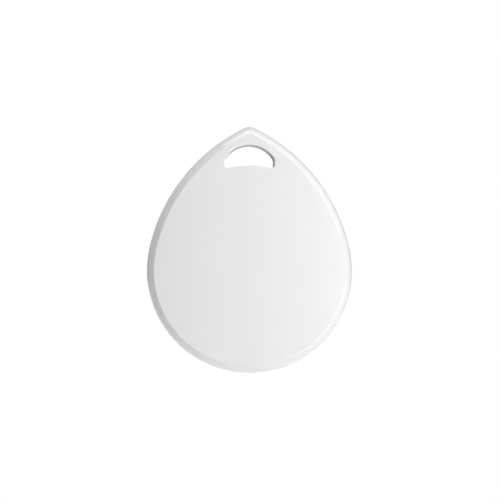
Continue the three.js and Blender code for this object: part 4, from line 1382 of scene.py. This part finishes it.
# Coin cell. A deep-drawn steel can with its rim crimped over a plastic grommet that holds the cap. A pressed
# pellet lies in the can, a lithium disc is pressed into the cap, and a felt separator lies between them.
CELL_HEIGHT = 3.2
CELL_SKIN = 0.25
CAP_R = 9.15
CAP_TOP_R = 8.7
cell_steel = metal("cell_steel", (0.55, 0.565, 0.578), 0.24, (0, 0, 0), grain=5000)
cell_seal = moulded("cell_seal", (0.69, 0.66, 0.55), 0.5, 4000, 0.004, 0.05)
pressed_pellet = moulded("pressed_pellet", (0.024, 0.023, 0.022), 0.85, 5200, 0.03, 0.45)
felt = moulded("separator_felt", (0.80, 0.79, 0.76), 0.85, 2600, 0.03, 0.12)
lithium = metal("lithium", (0.28, 0.29, 0.30), 0.5, grain=2500, bump_mm=0.01, mottle=0.35)


def cell_can():
    low, wall, lip = CELL_Z, CELL_R - CELL_SKIN, CELL_R - 0.65
    outside = [(0, low), (CELL_R, low), (CELL_R, low + 2.55), (CELL_R - 0.4, low + 2.85), (lip, low + 2.85)]
    inside = [(lip, low + 2.7), (wall, low + 2.45), (wall, low + CELL_SKIN), (0, low + CELL_SKIN)]
    can = turned(rounded([*outside, *inside], 0.3, closed=False), steps=144)
    plus = combined(block(3.2, 0.7, low - 1, low + 0.05), block(0.7, 3.2, low - 1, low + 0.05), "UNION")
    return combined(can, plus, "DIFFERENCE")


def cell_cap():
    rim, shoulder, top = CELL_Z + 0.55, CELL_Z + 2.3, CELL_Z + CELL_HEIGHT
    slope = CAP_R - CAP_TOP_R
    inner_top, inner_rim = CAP_TOP_R - CELL_SKIN, CAP_R - CELL_SKIN
    inside = [(0, top - CELL_SKIN), (inner_top, top - CELL_SKIN), (inner_top, shoulder + slope - 0.07),
              (inner_rim, shoulder - 0.07), (inner_rim, rim)]
    outside = [(CAP_R, rim), (CAP_R, shoulder), (CAP_TOP_R, shoulder + slope), (CAP_TOP_R, top), (0, top)]
    return turned(rounded([*inside, *outside], 0.2, closed=False), steps=144)


def cell_grommet():
    low = CELL_Z
    section = [(CAP_R + 0.05, low + 0.35), (CELL_R - 0.3, low + 0.35), (CELL_R - 0.3, low + 2.4),
               (CELL_R - 0.7, low + 2.66), (CELL_R - 0.7, low + 2.95), (CAP_TOP_R + 0.1, low + 2.95),
               (CAP_TOP_R + 0.1, low + 2.75), (CAP_R + 0.05, low + 2.35)]
    return turned(rounded(section, 0.06, steps=3), steps=144)


fitted(finished(cell_can(), "drawn_can", cell_steel), "door", "cell_steel", "cell_can")
fitted(finished(cell_cap(), "drawn_cap", cell_steel), "door", "cell_steel", "cell_cap")
fitted(finished(cell_grommet(), "seal_ring_of_cell", cell_seal), "door", "cell_seal", "cell_grommet")
for name, node, finish, material, radius, low, high in (
    ("cathode_pellet", "cell_cathode", "cathode", pressed_pellet, 8.6, 0.3, 1.75),
    ("felt_separator", "cell_separator", "separator", felt, 8.8, 1.8, 1.9),
    ("lithium_disc", "cell_anode", "lithium", lithium, 8.3, 1.95, 2.9),
):
    layer = finished(disc(radius, CELL_Z + low, CELL_Z + high, 0, edge=0.08), name, material)
    fitted(layer, "door", finish, node)

# Battery door. A round twist-off door of the same white plastic: a flange with a coin slot and an arrow, a
# groove in its rim for the seal, and a tray for the cell with three lugs that run in the well's slots.
DOOR_R = 13.3
TRAY_IN = 10.35
TRAY_OUT = 11.4
TRAY_TOP = 3.9
LUG_OUT = 12.15
LUG_HALF_ANGLE = 7
SEAL_R = 12.95
SEAL_TUBE_R = 0.45
SEAL_Z = 0.825
COIN_SLOT_LENGTH = 13.0
COIN_SLOT_WIDTH = 1.8
COIN_SLOT_DEPTH = 0.9
ARROW_R = 10.2
RIM_LINE = (11.9, 12.15)
door_plastic = moulded("door_plastic", (0.88, 0.88, 0.885), 0.33, 3800, 0.0012, 0.012, 0.04)


def coin_slot(grow):
    """The coin slot's outline, larger all round by grow."""
    radius, reach = COIN_SLOT_WIDTH / 2 + grow, (COIN_SLOT_LENGTH - COIN_SLOT_WIDTH) / 2
    quarter = math.pi / 2
    return arc(reach, 0, radius, -quarter, quarter, 24) + arc(-reach, 0, radius, quarter, 3 * quarter, 24)


def turn_arrow():
    """A curved arrow that points the way the door opens."""
    first, last, half, head = 68, 34, 0.24, 0.7
    steps = 17
    turns = [first + (last - first) * i / steps for i in range(steps + 1)]
    inner = [on_ring(ARROW_R - half, a) for a in turns]
    outer = [on_ring(ARROW_R + half, a) for a in turns]
    point = [on_ring(ARROW_R + head, last), on_ring(ARROW_R, last - 8), on_ring(ARROW_R - head, last)]
    return [*outer, *point, *reversed(inner)]


def battery_door():
    low, high = SEAL_Z - SEAL_TUBE_R - 0.05, SEAL_Z + SEAL_TUBE_R + 0.05
    groove_r = SEAL_R - SEAL_TUBE_R - 0.05
    edge = rounded([(0, 0), (DOOR_R, 0), (DOOR_R, low)], 0.2, closed=False)
    flange = [*edge, (groove_r, low), (groove_r, high), (DOOR_R, high), (DOOR_R, DOOR_FLANGE - 0.1),
              (DOOR_R - 0.1, DOOR_FLANGE), (TRAY_OUT, DOOR_FLANGE)]
    tray = [(TRAY_OUT, TRAY_TOP - 0.15), (TRAY_OUT - 0.15, TRAY_TOP), (TRAY_IN + 0.3, TRAY_TOP),
            (TRAY_IN, TRAY_TOP - 0.3), (TRAY_IN, DOOR_FLANGE), (0, DOOR_FLANGE)]
    door = turned([*flange, *tray], steps=180)
    for start in THREAD_STARTS:
        lug = thread_bar(start, TRAY_OUT - 0.2, LUG_OUT, LUG_H / 2, (-LUG_HALF_ANGLE, LUG_HALF_ANGLE))
        door = combined(door, lug, "UNION")
    mouth = [(0.22, -1), (0.22, 0), (0.06, 0.06), (0, 0.22)]
    bottom = [(0, COIN_SLOT_DEPTH - 0.15), (-0.15, COIN_SLOT_DEPTH)]
    door = combined(door, swept(coin_slot, mouth + bottom), "DIFFERENCE")
    ring = tube(*RIM_LINE, -1, MARK_DEPTH, steps=180)
    marks = gathered([sunk(turn_arrow()), sunk(circle(*on_ring(ARROW_R, 90), DOT_R)), ring])
    return combined(door, marks, "DIFFERENCE")


door_moulding = finished(battery_door(), "door_moulding", door_plastic)
fitted(door_moulding, "door", "case_white", "battery_door")

# Door seal. A grey silicone O-ring, moulded in one piece and stretched into the groove of the door's rim,
# where it closes the gap to the back shell.
silicone = moulded("silicone", (0.27, 0.283, 0.305), 0.55, 4500, 0.004, 0.06)


def ring_tree():
    """A cord of round section along closed lines."""
    tree, given = geometry_tree("o_ring", [("Cord Radius", "Float"), ("Material", "Material")])
    cord = carried(tree, as_curves(tree, given), loop_of(tree, 28, given["Cord Radius"]))
    ended(tree, cord, given["Material"])
    return tree


loop = [(x, y, SEAL_Z) for x, y in circle(0, 0, SEAL_R, 180)]
cord = {"Cord Radius": SEAL_TUBE_R - 0.01, "Material": silicone}
o_ring = grown(path(loop, closed=True), ring_tree(), cord)
fitted(shaded(o_ring, "o_ring"), "seal_ring", "seal_rubber", "door_seal")

low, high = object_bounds()
